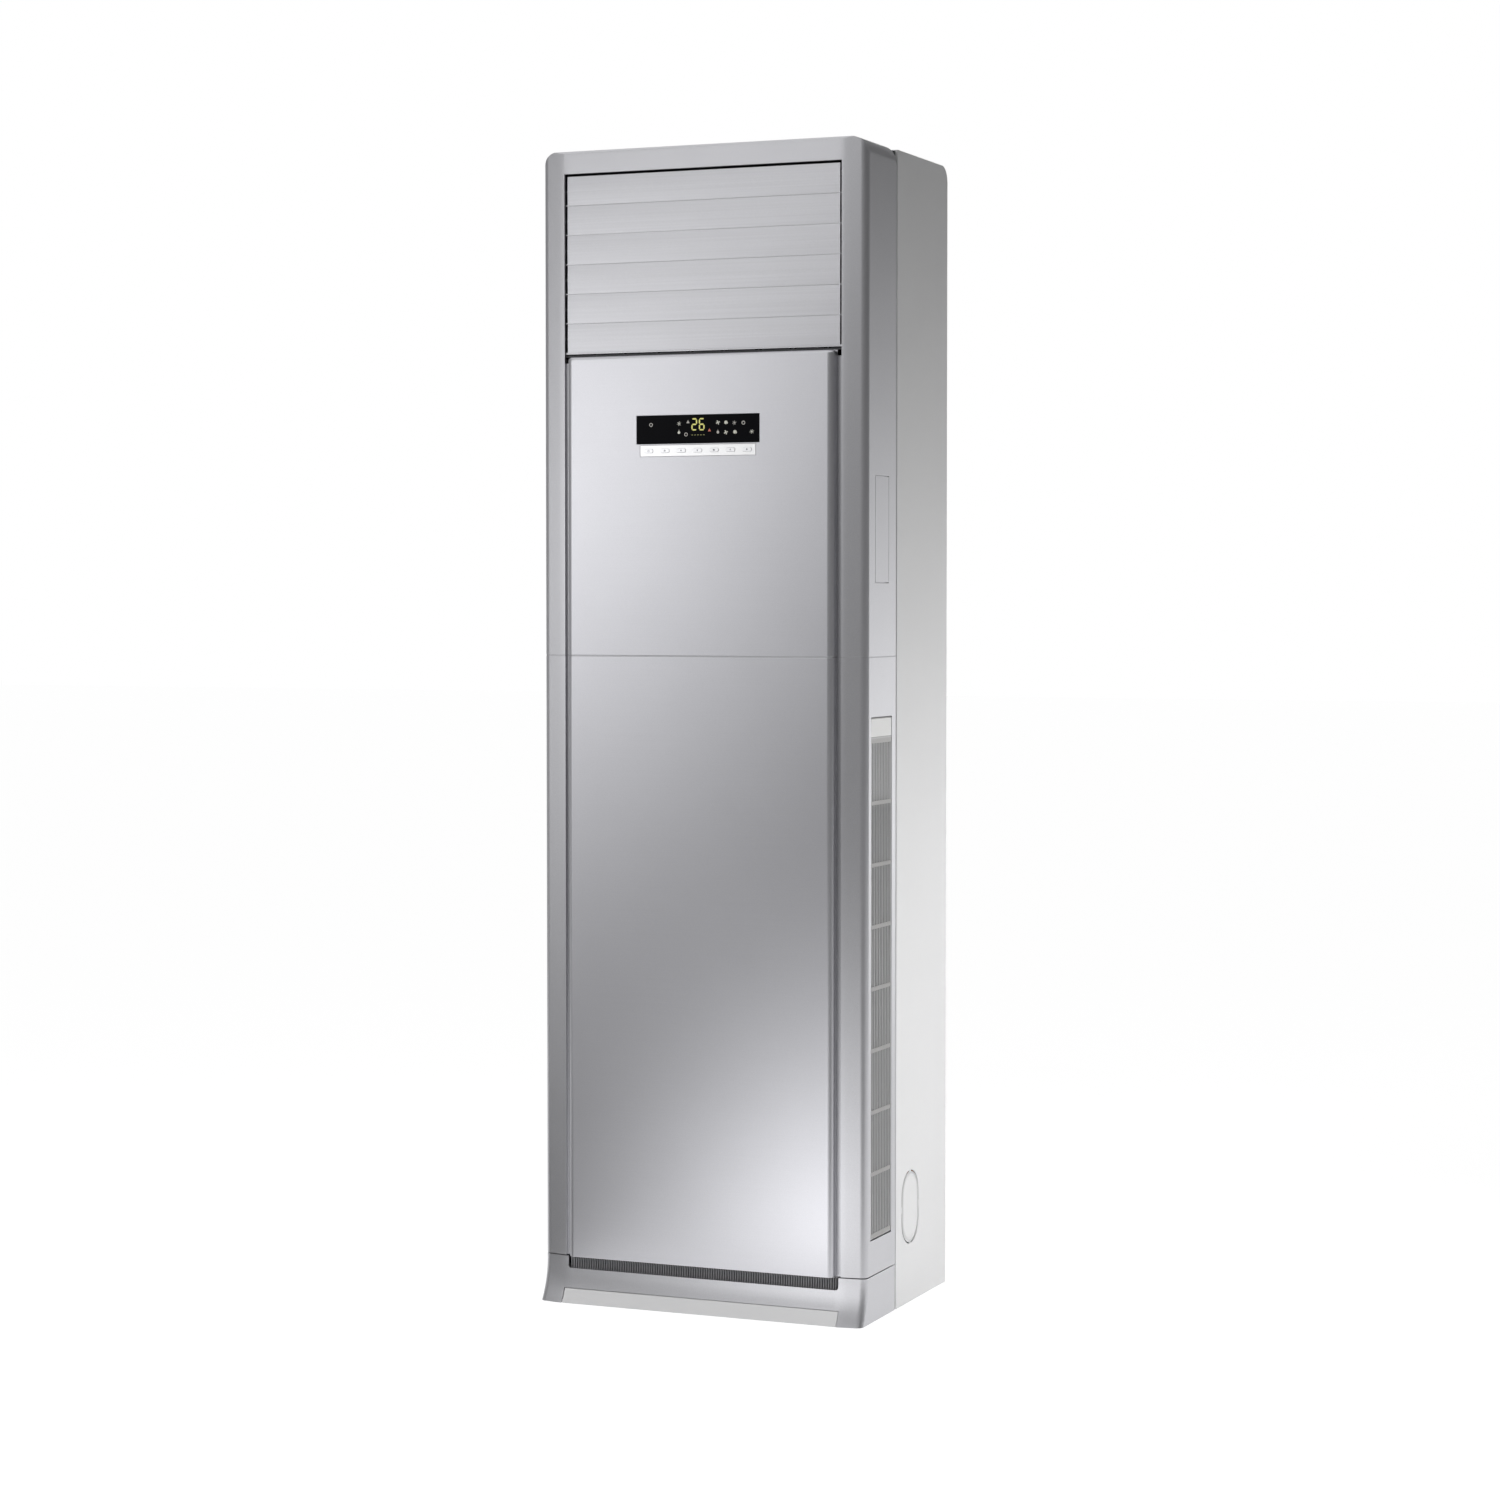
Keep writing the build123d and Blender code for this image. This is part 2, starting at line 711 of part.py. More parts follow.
filter_low = hinge_z + grille_cross_bar
filter_x = (grille_x[0] - filter_thickness, grille_x[0])
z_tab = (grille_high, grille_high + tab_height)
with BuildPart() as right_air_filter:
    y_filter = (y_grille[0] + filter_mesh, y_grille[1] - filter_mesh)
    block(filter_x, y_filter, (filter_low, z_tab[1]))
    block(
        (filter_x[0] + filter_mesh, filter_x[1]),
        (y_filter[0] + filter_frame, y_filter[1] - filter_frame),
        (filter_low + filter_frame, grille_high - filter_frame),
        Mode.SUBTRACT,
    )
    # pull tab that fills the opening above the grille
    block((filter_x[1], grille_x[1]), y_grille, (z_tab[0] + fit_gap, z_tab[1]))
    tab_edge = edges().filter_by(Axis.Y).group_by(Axis.X)[-1].sort_by(Axis.Z)[-1]
    fillet(tab_edge, grille_thickness / 2)
save(right_air_filter, "right_air_filter")

with BuildPart() as left_intake_grille:
    mirror(right_intake_grille.part, about=Plane.YZ)
save(left_intake_grille, "left_intake_grille")

with BuildPart() as left_air_filter:
    mirror(right_air_filter.part, about=Plane.YZ)
save(left_air_filter, "left_air_filter")

# ================================================================ rear cabinet
knockout_y = y_face + knockout_centre[0]


def side_screw_z(row):
    first = plinth_height
    last = cabinet_top - cabinet_round - 3 * rear_skirt
    return first + (last - first) * row / (screw_rows - 1)


with BuildPart() as right_side_panel:
    with BuildSketch(Plane.YZ.offset(steel_half)) as side_outline:
        with Locations(((y_cabinet + y_sheet_back) / 2, cabinet_top / 2)):
            Rectangle(y_sheet_back - y_cabinet, cabinet_top)
        rear_top = side_outline.vertices().group_by(Axis.X)[-1].sort_by(Axis.Y)[-1]
        fillet(rear_top, cabinet_round)
    extrude(amount=sheet)
    # step and tongue that reach under the moulded frame, seen from above
    step_y = (y_cabinet, y_cabinet + sheet)
    block((tongue_half, half_width), step_y, (0, cabinet_top - sheet))
    block((tongue_half, inner_half), (y_cabinet - tongue_depth, step_y[1]), (0, height - top_corner))
    rear_flange_top = cabinet_top - cabinet_round - rear_skirt
    block(
        (half_width - flange, steel_half),
        (y_sheet_back - sheet, y_sheet_back),
        (0, rear_flange_top),
    )
    # knock-out for the pipes: slits on an oblong, with bridges left between them
    with BuildSketch(Plane.YZ.offset(steel_half)):
        with Locations((knockout_y, knockout_centre[1])):
            SlotOverall(knockout_height, knockout_width, rotation=90)
            SlotOverall(
                knockout_height - 2 * knockout_slit,
                knockout_width - 2 * knockout_slit,
                rotation=90,
                mode=Mode.SUBTRACT,
            )
            Rectangle(2 * knockout_width, knockout_bridge, mode=Mode.SUBTRACT)
            Rectangle(knockout_bridge, 2 * knockout_height, mode=Mode.SUBTRACT)
    extrude(amount=sheet, mode=Mode.SUBTRACT)
    for row in range(screw_rows):
        with Locations(
            Location((half_width - flange / 2, y_sheet_back, side_screw_z(row)), (90, 0, 0))
        ):
            Cylinder(screw_radius + pin_clearance, 4 * sheet, mode=Mode.SUBTRACT)
save(right_side_panel, "right_side_panel")

with BuildPart() as left_side_panel:
    mirror(right_side_panel.part, about=Plane.YZ)
save(left_side_panel, "left_side_panel")

y_rear_panel = (y_sheet_back - 2 * sheet, y_sheet_back - sheet)
rear_panel_top = cabinet_top - cabinet_round - sheet
with BuildPart() as rear_panel:
    block(span(steel_half), y_rear_panel, (0, rear_panel_top))
    for side in (-1, 1):
        for row in range(screw_rows):
            with Locations(
                Location(
                    (side * (half_width - flange / 2), y_sheet_back, side_screw_z(row)), (90, 0, 0)
                )
            ):
                Cylinder(screw_radius + pin_clearance, 6 * sheet, mode=Mode.SUBTRACT)
    with BuildSketch(Plane.XZ.offset(-y_rear_panel[0])):
        with Locations((0, height - anchor_drop)):
            with GridLocations(anchor_spacing, 0, 2, 1):
                Circle(anchor_radius)
    extrude(amount=-sheet, mode=Mode.SUBTRACT)
save(rear_panel, "rear_panel")

with BuildPart() as top_cover:
    skirt_low = cabinet_top - cabinet_round - rear_skirt
    with BuildSketch(Plane.YZ.offset(-steel_half)):
        with BuildLine():
            Line((y_cabinet + sheet, cabinet_top), (y_sheet_back - cabinet_round, cabinet_top))
            RadiusArc(
                (y_sheet_back - cabinet_round, cabinet_top),
                (y_sheet_back, cabinet_top - cabinet_round),
                cabinet_round,
            )
            Line((y_sheet_back, cabinet_top - cabinet_round), (y_sheet_back, skirt_low))
            Line((y_sheet_back, skirt_low), (y_sheet_back - sheet, skirt_low))
            Line(
                (y_sheet_back - sheet, skirt_low),
                (y_sheet_back - sheet, cabinet_top - cabinet_round),
            )
            RadiusArc(
                (y_sheet_back - sheet, cabinet_top - cabinet_round),
                (y_sheet_back - cabinet_round, cabinet_top - sheet),
                -(cabinet_round - sheet),
            )
            Line(
                (y_sheet_back - cabinet_round, cabinet_top - sheet),
                (y_cabinet + sheet, cabinet_top - sheet),
            )
            Line((y_cabinet + sheet, cabinet_top - sheet), (y_cabinet + sheet, cabinet_top))
        make_face()
    extrude(amount=2 * steel_half)
    block(
        span(half_width - top_corner),
        (y_cabinet - tongue_depth, y_cabinet + sheet),
        (cabinet_top - sheet, cabinet_top),
    )
save(top_cover, "top_cover")


# Flat floor parts have the plan of the cabinet, with rounded front corners behind the columns.
def floor_plate(front, back, bottom, thickness):
    with BuildSketch(Plane.XY.offset(bottom)) as plate:
        with Locations((0, (front + back) / 2)):
            Rectangle(2 * tongue_half, back - front)
        fillet(plate.vertices().group_by(Axis.Y)[0], pan_corner)
    extrude(plate.sketch, amount=thickness)


with BuildPart() as pan_toe:
    loft(plinth_plans(arch_gap, y_frame_back))
    loft(plinth_plans(arch_gap + sheet, y_frame_back + 2 * wall), mode=Mode.SUBTRACT)
    toe_span = (y_face - 2 * toe_reach, y_ledge)
    block(span(opening_half - arch_gap), toe_span, (0, arch_height - arch_gap), Mode.INTERSECT)

with BuildPart() as base_pan:
    floor_plate(y_ledge, y_rear_panel[0], 0, pan_front_lip)
    with BuildSketch(Plane.XY.offset(sheet)) as pan_hollow:
        with Locations((0, (y_ledge + y_rear_panel[0]) / 2)):
            Rectangle(2 * (tongue_half - sheet), y_rear_panel[0] - y_ledge - 2 * sheet)
        fillet(pan_hollow.vertices().group_by(Axis.Y)[0], pan_corner - sheet)
    extrude(amount=pan_front_lip, mode=Mode.SUBTRACT)
    # the side and rear lips are lower than the front one
    block(
        span(width),
        (y_ledge + pan_corner, y_rear_panel[0]),
        (pan_side_lip, pan_front_lip),
        Mode.SUBTRACT,
    )
    # toe that follows the flare of the plinth and fills its arch
    add(pan_toe.part)
    toe_edge = y_face - toe_reach + arch_gap + sheet / 2
    block(span(opening_half - arch_gap), (toe_edge, y_ledge + sheet), (0, sheet))
save(base_pan, "base_pan")

with BuildPart() as cabinet_screws:
    for side in (-1, 1):
        for row in range(screw_rows):
            with BuildSketch(Plane.XZ.offset(-y_sheet_back)):
                with Locations((side * (half_width - flange / 2), side_screw_z(row))):
                    Circle(screw_head_radius)
            extrude(amount=-screw_head_height)
            with BuildSketch(Plane.XZ.offset(-y_sheet_back)):
                with Locations((side * (half_width - flange / 2), side_screw_z(row))):
                    Circle(screw_radius)
            extrude(amount=screw_length)
save(cabinet_screws, "cabinet_screws")

y_cover = y_face + cover_centre[0]
with BuildPart() as right_hand_hold_cover:
    with BuildSketch(Plane.YZ.offset(inner_half)):
        with Locations((y_cover, cover_centre[1])):
            Rectangle(cover_size[0] - 2 * cover_gap, cover_size[1] - 2 * cover_gap)
    extrude(amount=wall)
    with BuildSketch(Plane.YZ.offset(inner_half)):
        with Locations((y_cover, cover_centre[1])):
            Rectangle(cover_size[0] + 2 * cover_flange, cover_size[1] + 2 * cover_flange)
    extrude(amount=-cover_flange_thickness)
save(right_hand_hold_cover, "right_hand_hold_cover")

with BuildPart() as left_hand_hold_cover:
    mirror(right_hand_hold_cover.part, about=Plane.YZ)
save(left_hand_hold_cover, "left_hand_hold_cover")

# ================================================================ fan
fan_x = fan_offset
volute_radius = half_width - volute_side_room
wheel_radius = volute_radius - cut_off_gap
eye_radius = wheel_radius - eye_inset
y_volute = (y_face + volute_front, y_face + volute_front + volute_width)
half_step = volute_step / 2
start = radians(volute_start)


# Inside of the volute seen from the front: three arcs on the corners of a square, whose radius
# grows at each quarter turn, then two straight walls up to the deck.
def volute_section(y, grow=0.0):
    first = (fan_x - half_step, fan_height - half_step)
    second = (fan_x + half_step, fan_height - half_step)
    third = (fan_x + half_step, fan_height + half_step)
    r1 = volute_radius
    r2 = r1 + volute_step
    r3 = r2 + volute_step
    cut_off = (first[0] + r1 * cos(start), first[1] + r1 * sin(start))
    half_way = (start + radians(180)) / 2
    with BuildSketch(Plane.XZ.offset(-y)) as section:
        with BuildLine():
            ThreePointArc(
                cut_off,
                (first[0] + r1 * cos(half_way), first[1] + r1 * sin(half_way)),
                (first[0] - r1, first[1]),
            )
            CenterArc(second, r2, 180, 90)
            CenterArc(third, r3, 270, 90)
            Line((third[0] + r3, third[1]), (third[0] + r3, deck_height))
            Line((third[0] + r3, deck_height), (cut_off[0], deck_height))
            Line((cut_off[0], deck_height), cut_off)
        make_face()
        if grow:
            offset(amount=grow)
    return section.sketch


duct_right = fan_x + half_step + volute_radius + 2 * volute_step
duct_left = fan_x - half_step + volute_radius * cos(start)

with BuildPart() as volute_casing:
    extrude(volute_section(y_volute[0], grow=volute_wall), amount=-volute_width)
    block(span(width), y_volute, (deck_height, deck_height + 2 * volute_wall), Mode.SUBTRACT)
    extrude(
        volute_section(y_volute[0] + volute_wall),
        amount=-(volute_width - 2 * volute_wall),
        mode=Mode.SUBTRACT,
    )
    with BuildSketch(Plane.XZ.offset(-y_volute[0])):
        with Locations((fan_x, fan_height)):
            Circle(eye_radius + bell_radius)
    extrude(amount=-volute_wall, mode=Mode.SUBTRACT)
save(volute_casing, "volute_casing")

shaft_line = Axis((fan_x, y_face, fan_height), (0, 1, 0))
# Half sections of round parts: local x is the depth behind the front plane, local y the radius.
shaft_plane = Plane(origin=(fan_x, y_face, fan_height), x_dir=(0, 1, 0), z_dir=(1, 0, 0))
volute_inside = (volute_front + volute_wall, volute_front + volute_width - volute_wall)
wheel_back = volute_inside[1] - wheel_gap
wheel_front = volute_inside[0] + wheel_gap
hub_face = wheel_back - dish_depth
motor_face = volute_inside[1] - motor_body_length

with BuildPart() as inlet_ring:
    with BuildSketch(shaft_plane):
        with BuildLine():
            d = volute_front - bell_wall
            lip_radius = eye_radius + bell_radius
            Line((d, lip_radius + bell_flange), (d, lip_radius))
            JernArc((d, lip_radius), (0, -1), bell_radius, 90)
            Line((d + bell_radius, eye_radius), (d + bell_radius, eye_radius + bell_wall))
            inner_bell = bell_radius - bell_wall
            RadiusArc(
                (d + bell_radius, eye_radius + bell_wall),
                (d + bell_wall, lip_radius),
                inner_bell,
            )
            Line((d + bell_wall, lip_radius), (d + bell_wall, lip_radius + bell_flange))
            Line((d + bell_wall, lip_radius + bell_flange), (d, lip_radius + bell_flange))
        make_face()
    revolve(axis=shaft_line)
save(inlet_ring, "inlet_ring")

blade_inner = wheel_radius - blade_depth
# One blade seen along the shaft, bowed towards the direction of rotation.
with BuildSketch() as blade:
    with BuildLine():
        lean = radians(blade_sweep)
        turn = blade_thickness / wheel_radius
        middle = wheel_radius - blade_depth / 2
        bow = lean / 4

        def blade_point(radius, angle):
            return (radius * cos(angle), radius * sin(angle))

        outer = wheel_radius - blade_thickness / 4
        ThreePointArc(
            blade_point(blade_inner, 0), blade_point(middle, bow), blade_point(outer, lean)
        )
        Line(blade_point(outer, lean), blade_point(outer, lean + turn))
        ThreePointArc(
            blade_point(outer, lean + turn),
            blade_point(middle, bow + turn),
            blade_point(blade_inner, turn),
        )
        Line(blade_point(blade_inner, turn), blade_point(blade_inner, 0))
    make_face()

with BuildPart() as fan_wheel:
    # dished back plate with its hub
    with BuildSketch(shaft_plane):
        with BuildLine():
            Polyline(
                (wheel_back, wheel_radius),
                (wheel_back, dish_radius),
                (hub_face, dish_radius - plate_thickness * 4),
                (hub_face, hub_radius),
                (hub_face + hub_length / 2, hub_radius),
                (hub_face + hub_length / 2, shaft_radius + mating_gap),
                (hub_face - hub_length / 2, shaft_radius + mating_gap),
                (hub_face - hub_length / 2, hub_radius),
                (hub_face - plate_thickness, hub_radius),
                (hub_face - plate_thickness, dish_radius - plate_thickness * 3),
                (wheel_back - plate_thickness, dish_radius + plate_thickness),
                (wheel_back - plate_thickness, wheel_radius),
                close=True,
            )
        make_face()
    revolve(axis=shaft_line)
    with BuildSketch(Plane(origin=(fan_x, y_face + wheel_front, fan_height), z_dir=(0, -1, 0))):
        with PolarLocations(0, blade_count):
            add(blade.sketch)
    extrude(amount=-(wheel_back - plate_thickness - wheel_front))
    with BuildSketch(Plane(origin=(fan_x, y_face + wheel_front, fan_height), z_dir=(0, -1, 0))):
        Circle(wheel_radius)
        Circle(blade_inner, mode=Mode.SUBTRACT)
    extrude(amount=-rim_width)
save(fan_wheel, "fan_wheel")

with BuildPart() as fan_shaft:
    with BuildSketch(shaft_plane):
        nut_back = hub_face - hub_length / 2
        with BuildLine():
            Polyline(
                (nut_back - nut_height, 0),
                (nut_back - nut_height, nut_size / 2),
                (nut_back, nut_size / 2),
                (nut_back, shaft_radius),
                (volute_inside[1] - hub_length / 2, shaft_radius),
                (volute_inside[1] - hub_length / 2, 0),
                close=True,
            )
        make_face()
    revolve(axis=shaft_line)
save(fan_shaft, "fan_shaft")

with BuildPart() as fan_motor:
    with BuildSketch(shaft_plane):
        with BuildLine():
            bore = shaft_radius + mating_gap
            bore_end = volute_inside[1] - hub_length / 2 + pin_clearance
            Polyline(
                (motor_face, bore),
                (motor_face, motor_body_radius),
                (volute_inside[1], motor_body_radius),
                (volute_inside[1], 0),
                (bore_end, 0),
                (bore_end, bore),
                close=True,
            )
        make_face()
    revolve(axis=shaft_line)
    rims = edges().filter_by(GeomType.CIRCLE).sort_by(Axis.Y)
    fillet(rims.group_by(SortBy.RADIUS)[-1].sort_by(Axis.Y)[0], panel_edge)
save(fan_motor, "fan_motor")

# ================================================================ cooling circuit
pan_low = deck_height + sheet + pan_lift
coil_low = pan_low + pan_wall
y_coil = y_face + coil_front
coil_top = coil_low + coil_height
coil_half = half_width - coil_side_room
slope = Vector(0, coil_setback, coil_height).normalized()
slab_normal = Vector(0, -slope.Z, slope.Y)


# Point on the middle plane of the coil at a height.
def coil_middle(z):
    return y_coil + coil_thickness / 2 + coil_setback * (z - coil_low) / coil_height


def bend_z(row):
    return coil_low + coil_height * (row + 1) / (bend_count + 2)


gas_start = bend_z(gas_row)
liquid_start = bend_z(liquid_row)


# Level section of the coil, between two depths measured across it.
def coil_section(x, near, far):
    with BuildSketch(Plane.YZ.offset(x)) as section:
        with BuildLine():
            Polyline(
                (y_coil + near, coil_low),
                (y_coil + far, coil_low),
                (y_coil + far + coil_setback, coil_top),
                (y_coil + near + coil_setback, coil_top),
                close=True,
            )
        make_face()
    return section.sketch


fin_count = int((2 * coil_half - 2 * fin_pitch) // fin_pitch)
with BuildPart() as evaporator_fins:
    extrude(coil_section(-coil_half, 0, coil_thickness), amount=2 * coil_half)
    # gaps between the fins, cut from the front and the back down to the tube core
    for index in range(fin_count):
        x = (index - (fin_count - 1) / 2) * fin_pitch - fin_slot / 2
        extrude(coil_section(x, 0, fin_root), amount=fin_slot, mode=Mode.SUBTRACT)
        extrude(
            coil_section(x, coil_thickness - fin_root, coil_thickness),
            amount=fin_slot,
            mode=Mode.SUBTRACT,
        )
save(evaporator_fins, "evaporator_fins")

with BuildPart() as evaporator_bends:
    for side in (-1, 1):
        for index in range(bend_count):
            z = bend_z(index)
            centre = Vector(side * coil_half, coil_middle(z), z)
            tube_start = centre + slope * (bend_pitch / 2)
            with BuildSketch(Plane(origin=tube_start, x_dir=(0, 1, 0), z_dir=(1, 0, 0))):
                Circle(bend_tube)
            revolve(axis=Axis(centre, slab_normal * -side), revolution_arc=180)
save(evaporator_bends, "evaporator_bends")

y_pan = (y_face + pan_front, y_face + pan_front + pan_length)
drain_x = -(tongue_half - drain_side)
y_drain = y_face + drain_depth
with BuildPart() as drain_pan:
    block(span(steel_half), y_pan, (pan_low, pan_low + pan_height))
    block(
        span(steel_half - pan_wall),
        (y_pan[0] + pan_wall, y_pan[1] - pan_wall),
        (coil_low, pan_low + pan_height),
        Mode.SUBTRACT,
    )
    with Locations((drain_x, y_drain, pan_low)):
        Cylinder(drain_bore, 4 * pan_wall, mode=Mode.SUBTRACT)
save(drain_pan, "drain_pan")

with BuildPart() as drain_pipe:
    with BuildSketch(Plane.XY.offset(drain_end)):
        with Locations((drain_x, y_drain)):
            Circle(drain_radius)
            Circle(drain_bore, mode=Mode.SUBTRACT)
    extrude(amount=pan_low - drain_end)
save(drain_pipe, "drain_pipe")

pipe_x = coil_half + pipe_out


# Tube from the end of the coil, round one bend, straight down to its union.
def refrigerant_pipe(start_z, radius, nut_scale):
    y = coil_middle(start_z)
    with BuildLine() as route:
        FilletPolyline(
            (coil_half, y, start_z), (pipe_x, y, start_z), (pipe_x, y, pipe_end), radius=pipe_bend
        )
    with BuildSketch(Plane(origin=(coil_half, y, start_z), z_dir=(1, 0, 0))) as bore:
        Circle(radius)
    sweep(bore.sketch, path=route.wire())
    with BuildSketch(Plane.XY.offset(pipe_end - union_height)) as nut:
        with Locations((pipe_x, y)):
            RegularPolygon(union_size / 2 * nut_scale, 6)
    extrude(nut.sketch, amount=union_height)


with BuildPart() as gas_pipe:
    refrigerant_pipe(gas_start, gas_tube, 1.0)
save(gas_pipe, "gas_pipe")

with BuildPart() as liquid_pipe:
    refrigerant_pipe(liquid_start, liquid_tube, liquid_tube / gas_tube * 1.2)
save(liquid_pipe, "liquid_pipe")

# ================================================================ inner walls
y_deck_front = y_ledge + 2 * wall
with BuildPart() as fan_deck:
    floor_plate(y_deck_front, y_rear_panel[0], deck_height, sheet)
    deck_span = (deck_height, deck_height + sheet)
    inner_y = (y_volute[0] + volute_wall, y_volute[1] - volute_wall)
    block((duct_left, duct_right), inner_y, deck_span, Mode.SUBTRACT)
    # open notch for the two pipes, hole for the drain
    block(
        (pipe_x - gas_tube - pipe_notch, half_width),
        (
            coil_middle(gas_start) - gas_tube - pipe_notch,
            coil_middle(liquid_start) + liquid_tube + pipe_notch,
        ),
        deck_span,
        Mode.SUBTRACT,
    )
    with Locations((drain_x, y_drain, deck_height)):
        Cylinder(drain_radius + fit_gap, 4 * sheet, mode=Mode.SUBTRACT)
save(fan_deck, "fan_deck")

with BuildPart() as air_bulkhead:
    bulkhead_span = (y_bulkhead, y_bulkhead + bulkhead_thickness)
    with BuildSketch(Plane.XZ.offset(-y_bulkhead)) as bulkhead_outline:
        with Locations((0, (deck_height + cabinet_top) / 2)):
            Rectangle(2 * tongue_half, cabinet_top - deck_height - 2 * sheet)
        fillet(bulkhead_outline.vertices().group_by(Axis.Y)[-1], top_corner)
    extrude(amount=-bulkhead_thickness)
    block(span(opening_half), bulkhead_span, (outlet_low, outlet_top), Mode.SUBTRACT)
    # joints between the four foam boards: one below the outlet, one above and two beside it
    for joint in (outlet_low, outlet_top):
        block(span(width), bulkhead_span, (joint - fit_gap / 2, joint + fit_gap / 2), Mode.SUBTRACT)
save(air_bulkhead, "air_bulkhead")

box_x = span(box_size[0] / 2)
box_y = (y_bulkhead - box_size[1], y_bulkhead)
box_level = (deck_height + outlet_low) / 2
box_z = (box_level - box_size[2] / 2, box_level + box_size[2] / 2)
with BuildPart() as control_box:
    block(box_x, box_y, box_z)
    offset(amount=-box_wall, openings=faces().sort_by(Axis.Y)[0])
    # posts that the cover is screwed to
    with BuildSketch(Plane.XZ.offset(-box_y[1] + box_wall)):
        with Locations((0, box_level)):
            with GridLocations(
                box_size[0] - 2 * box_wall - box_post, box_size[2] - 2 * box_wall - box_post, 2, 2
            ):
                Rectangle(box_post, box_post)
    extrude(amount=box_size[1] - box_wall)
save(control_box, "control_box")

with BuildPart() as control_box_cover:
    block(box_x, (box_y[0] - box_lid, box_y[0]), box_z)
    # louvred relief pressed into the middle of the cover
    with BuildSketch(Plane.XZ.offset(-(box_y[0] - box_lid))):
        with Locations((0, box_level)):
            with GridLocations(0, relief_pitch, 1, relief_count):
                SlotOverall(*relief_size)
    extrude(amount=-box_lid, mode=Mode.SUBTRACT)
save(control_box_cover, "control_box_cover")
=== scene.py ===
import json
import math
import bmesh
import bpy
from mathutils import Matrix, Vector

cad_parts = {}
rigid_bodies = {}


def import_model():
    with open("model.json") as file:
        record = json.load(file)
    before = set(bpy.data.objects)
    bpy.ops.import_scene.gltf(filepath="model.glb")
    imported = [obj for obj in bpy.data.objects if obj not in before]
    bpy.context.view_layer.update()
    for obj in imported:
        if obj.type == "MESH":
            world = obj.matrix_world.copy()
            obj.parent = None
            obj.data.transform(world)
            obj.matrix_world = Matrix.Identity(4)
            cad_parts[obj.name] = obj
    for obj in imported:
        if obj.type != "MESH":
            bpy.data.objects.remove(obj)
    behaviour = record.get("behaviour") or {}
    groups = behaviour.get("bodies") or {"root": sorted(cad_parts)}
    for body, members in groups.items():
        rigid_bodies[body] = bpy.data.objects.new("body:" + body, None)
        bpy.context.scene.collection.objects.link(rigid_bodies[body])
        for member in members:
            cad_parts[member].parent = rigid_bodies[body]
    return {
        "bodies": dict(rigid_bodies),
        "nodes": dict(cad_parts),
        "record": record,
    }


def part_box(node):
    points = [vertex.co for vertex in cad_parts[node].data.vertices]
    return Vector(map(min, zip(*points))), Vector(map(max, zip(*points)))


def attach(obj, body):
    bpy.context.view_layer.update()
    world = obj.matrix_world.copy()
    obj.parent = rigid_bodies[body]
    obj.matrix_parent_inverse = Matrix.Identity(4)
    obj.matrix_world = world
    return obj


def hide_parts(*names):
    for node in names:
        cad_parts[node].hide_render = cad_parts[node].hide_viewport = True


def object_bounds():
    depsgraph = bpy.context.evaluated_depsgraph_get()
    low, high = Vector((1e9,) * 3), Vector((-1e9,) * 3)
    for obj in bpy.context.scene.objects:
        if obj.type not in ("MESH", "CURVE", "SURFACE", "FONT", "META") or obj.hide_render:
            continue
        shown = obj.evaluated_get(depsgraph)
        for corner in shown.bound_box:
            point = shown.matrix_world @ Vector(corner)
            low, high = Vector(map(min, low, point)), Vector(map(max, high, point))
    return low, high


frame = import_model()
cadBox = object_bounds()
cadNodes = frame["nodes"]
slotOf = {part["node"]: part["material_slot"] for part in frame["record"]["subparts"]}
print("frame loaded:", len(cadNodes), "nodes")

scene = bpy.context.scene
scene.view_settings.view_transform = "Standard"


def deselectAll():
    if bpy.context.object and bpy.context.object.mode != "OBJECT":
        bpy.ops.object.mode_set(mode="OBJECT")
    bpy.ops.object.select_all(action="DESELECT")


def activeOnly(piece):
    deselectAll()
    piece.select_set(True)
    bpy.context.view_layer.objects.active = piece


def placeInMesh(piece):
    # the place goes into the mesh, so the piece sits at the origin like a CAD node
    activeOnly(piece)
    bpy.ops.object.transform_apply(location=True, rotation=True, scale=True)


# place in metres, yaw and tiltDown in degrees, lens in millimetres
cameraSizes = {
    "place": (2.0294, -4.8398, 1.0929), "yaw": 22.66, "tiltDown": 2.11, "lens": 80.53, "shiftY": -0.02,
}
deselectAll()
bpy.ops.object.camera_add(location=cameraSizes["place"])
camera = bpy.context.object
camera.name = "photoCamera"
camera.rotation_euler = (math.radians(90 - cameraSizes["tiltDown"]), 0, math.radians(cameraSizes["yaw"]))
camera.data.lens = cameraSizes["lens"]
camera.data.shift_y = cameraSizes["shiftY"]
scene.camera = camera
print("camera placed")


def newGroup(name, inputs, outputs):
    group = bpy.data.node_groups.new(name, "ShaderNodeTree")
    for label, kind, value in inputs:
        socket = group.interface.new_socket(label, in_out="INPUT", socket_type=kind)
        socket.default_value = value
    for label, kind in outputs:
        group.interface.new_socket(label, in_out="OUTPUT", socket_type=kind)
    return group, group.nodes.new("NodeGroupInput"), group.nodes.new("NodeGroupOutput")


def addMath(tree, operation, first, second=0.0, third=0.0):
    # each term is a socket or a number
    node = tree.nodes.new("ShaderNodeMath")
    node.operation = operation
    for place, term in enumerate((first, second, third)):
        if isinstance(term, (int, float)):
            node.inputs[place].default_value = term
        else:
            tree.links.new(term, node.inputs[place])
    return node.outputs[0]


def addScaled(tree, colour, amount):
    scaled = tree.nodes.new("ShaderNodeVectorMath")
    scaled.operation = "SCALE"
    tree.links.new(colour, scaled.inputs[0])
    tree.links.new(amount, scaled.inputs["Scale"])
    return scaled.outputs[0]


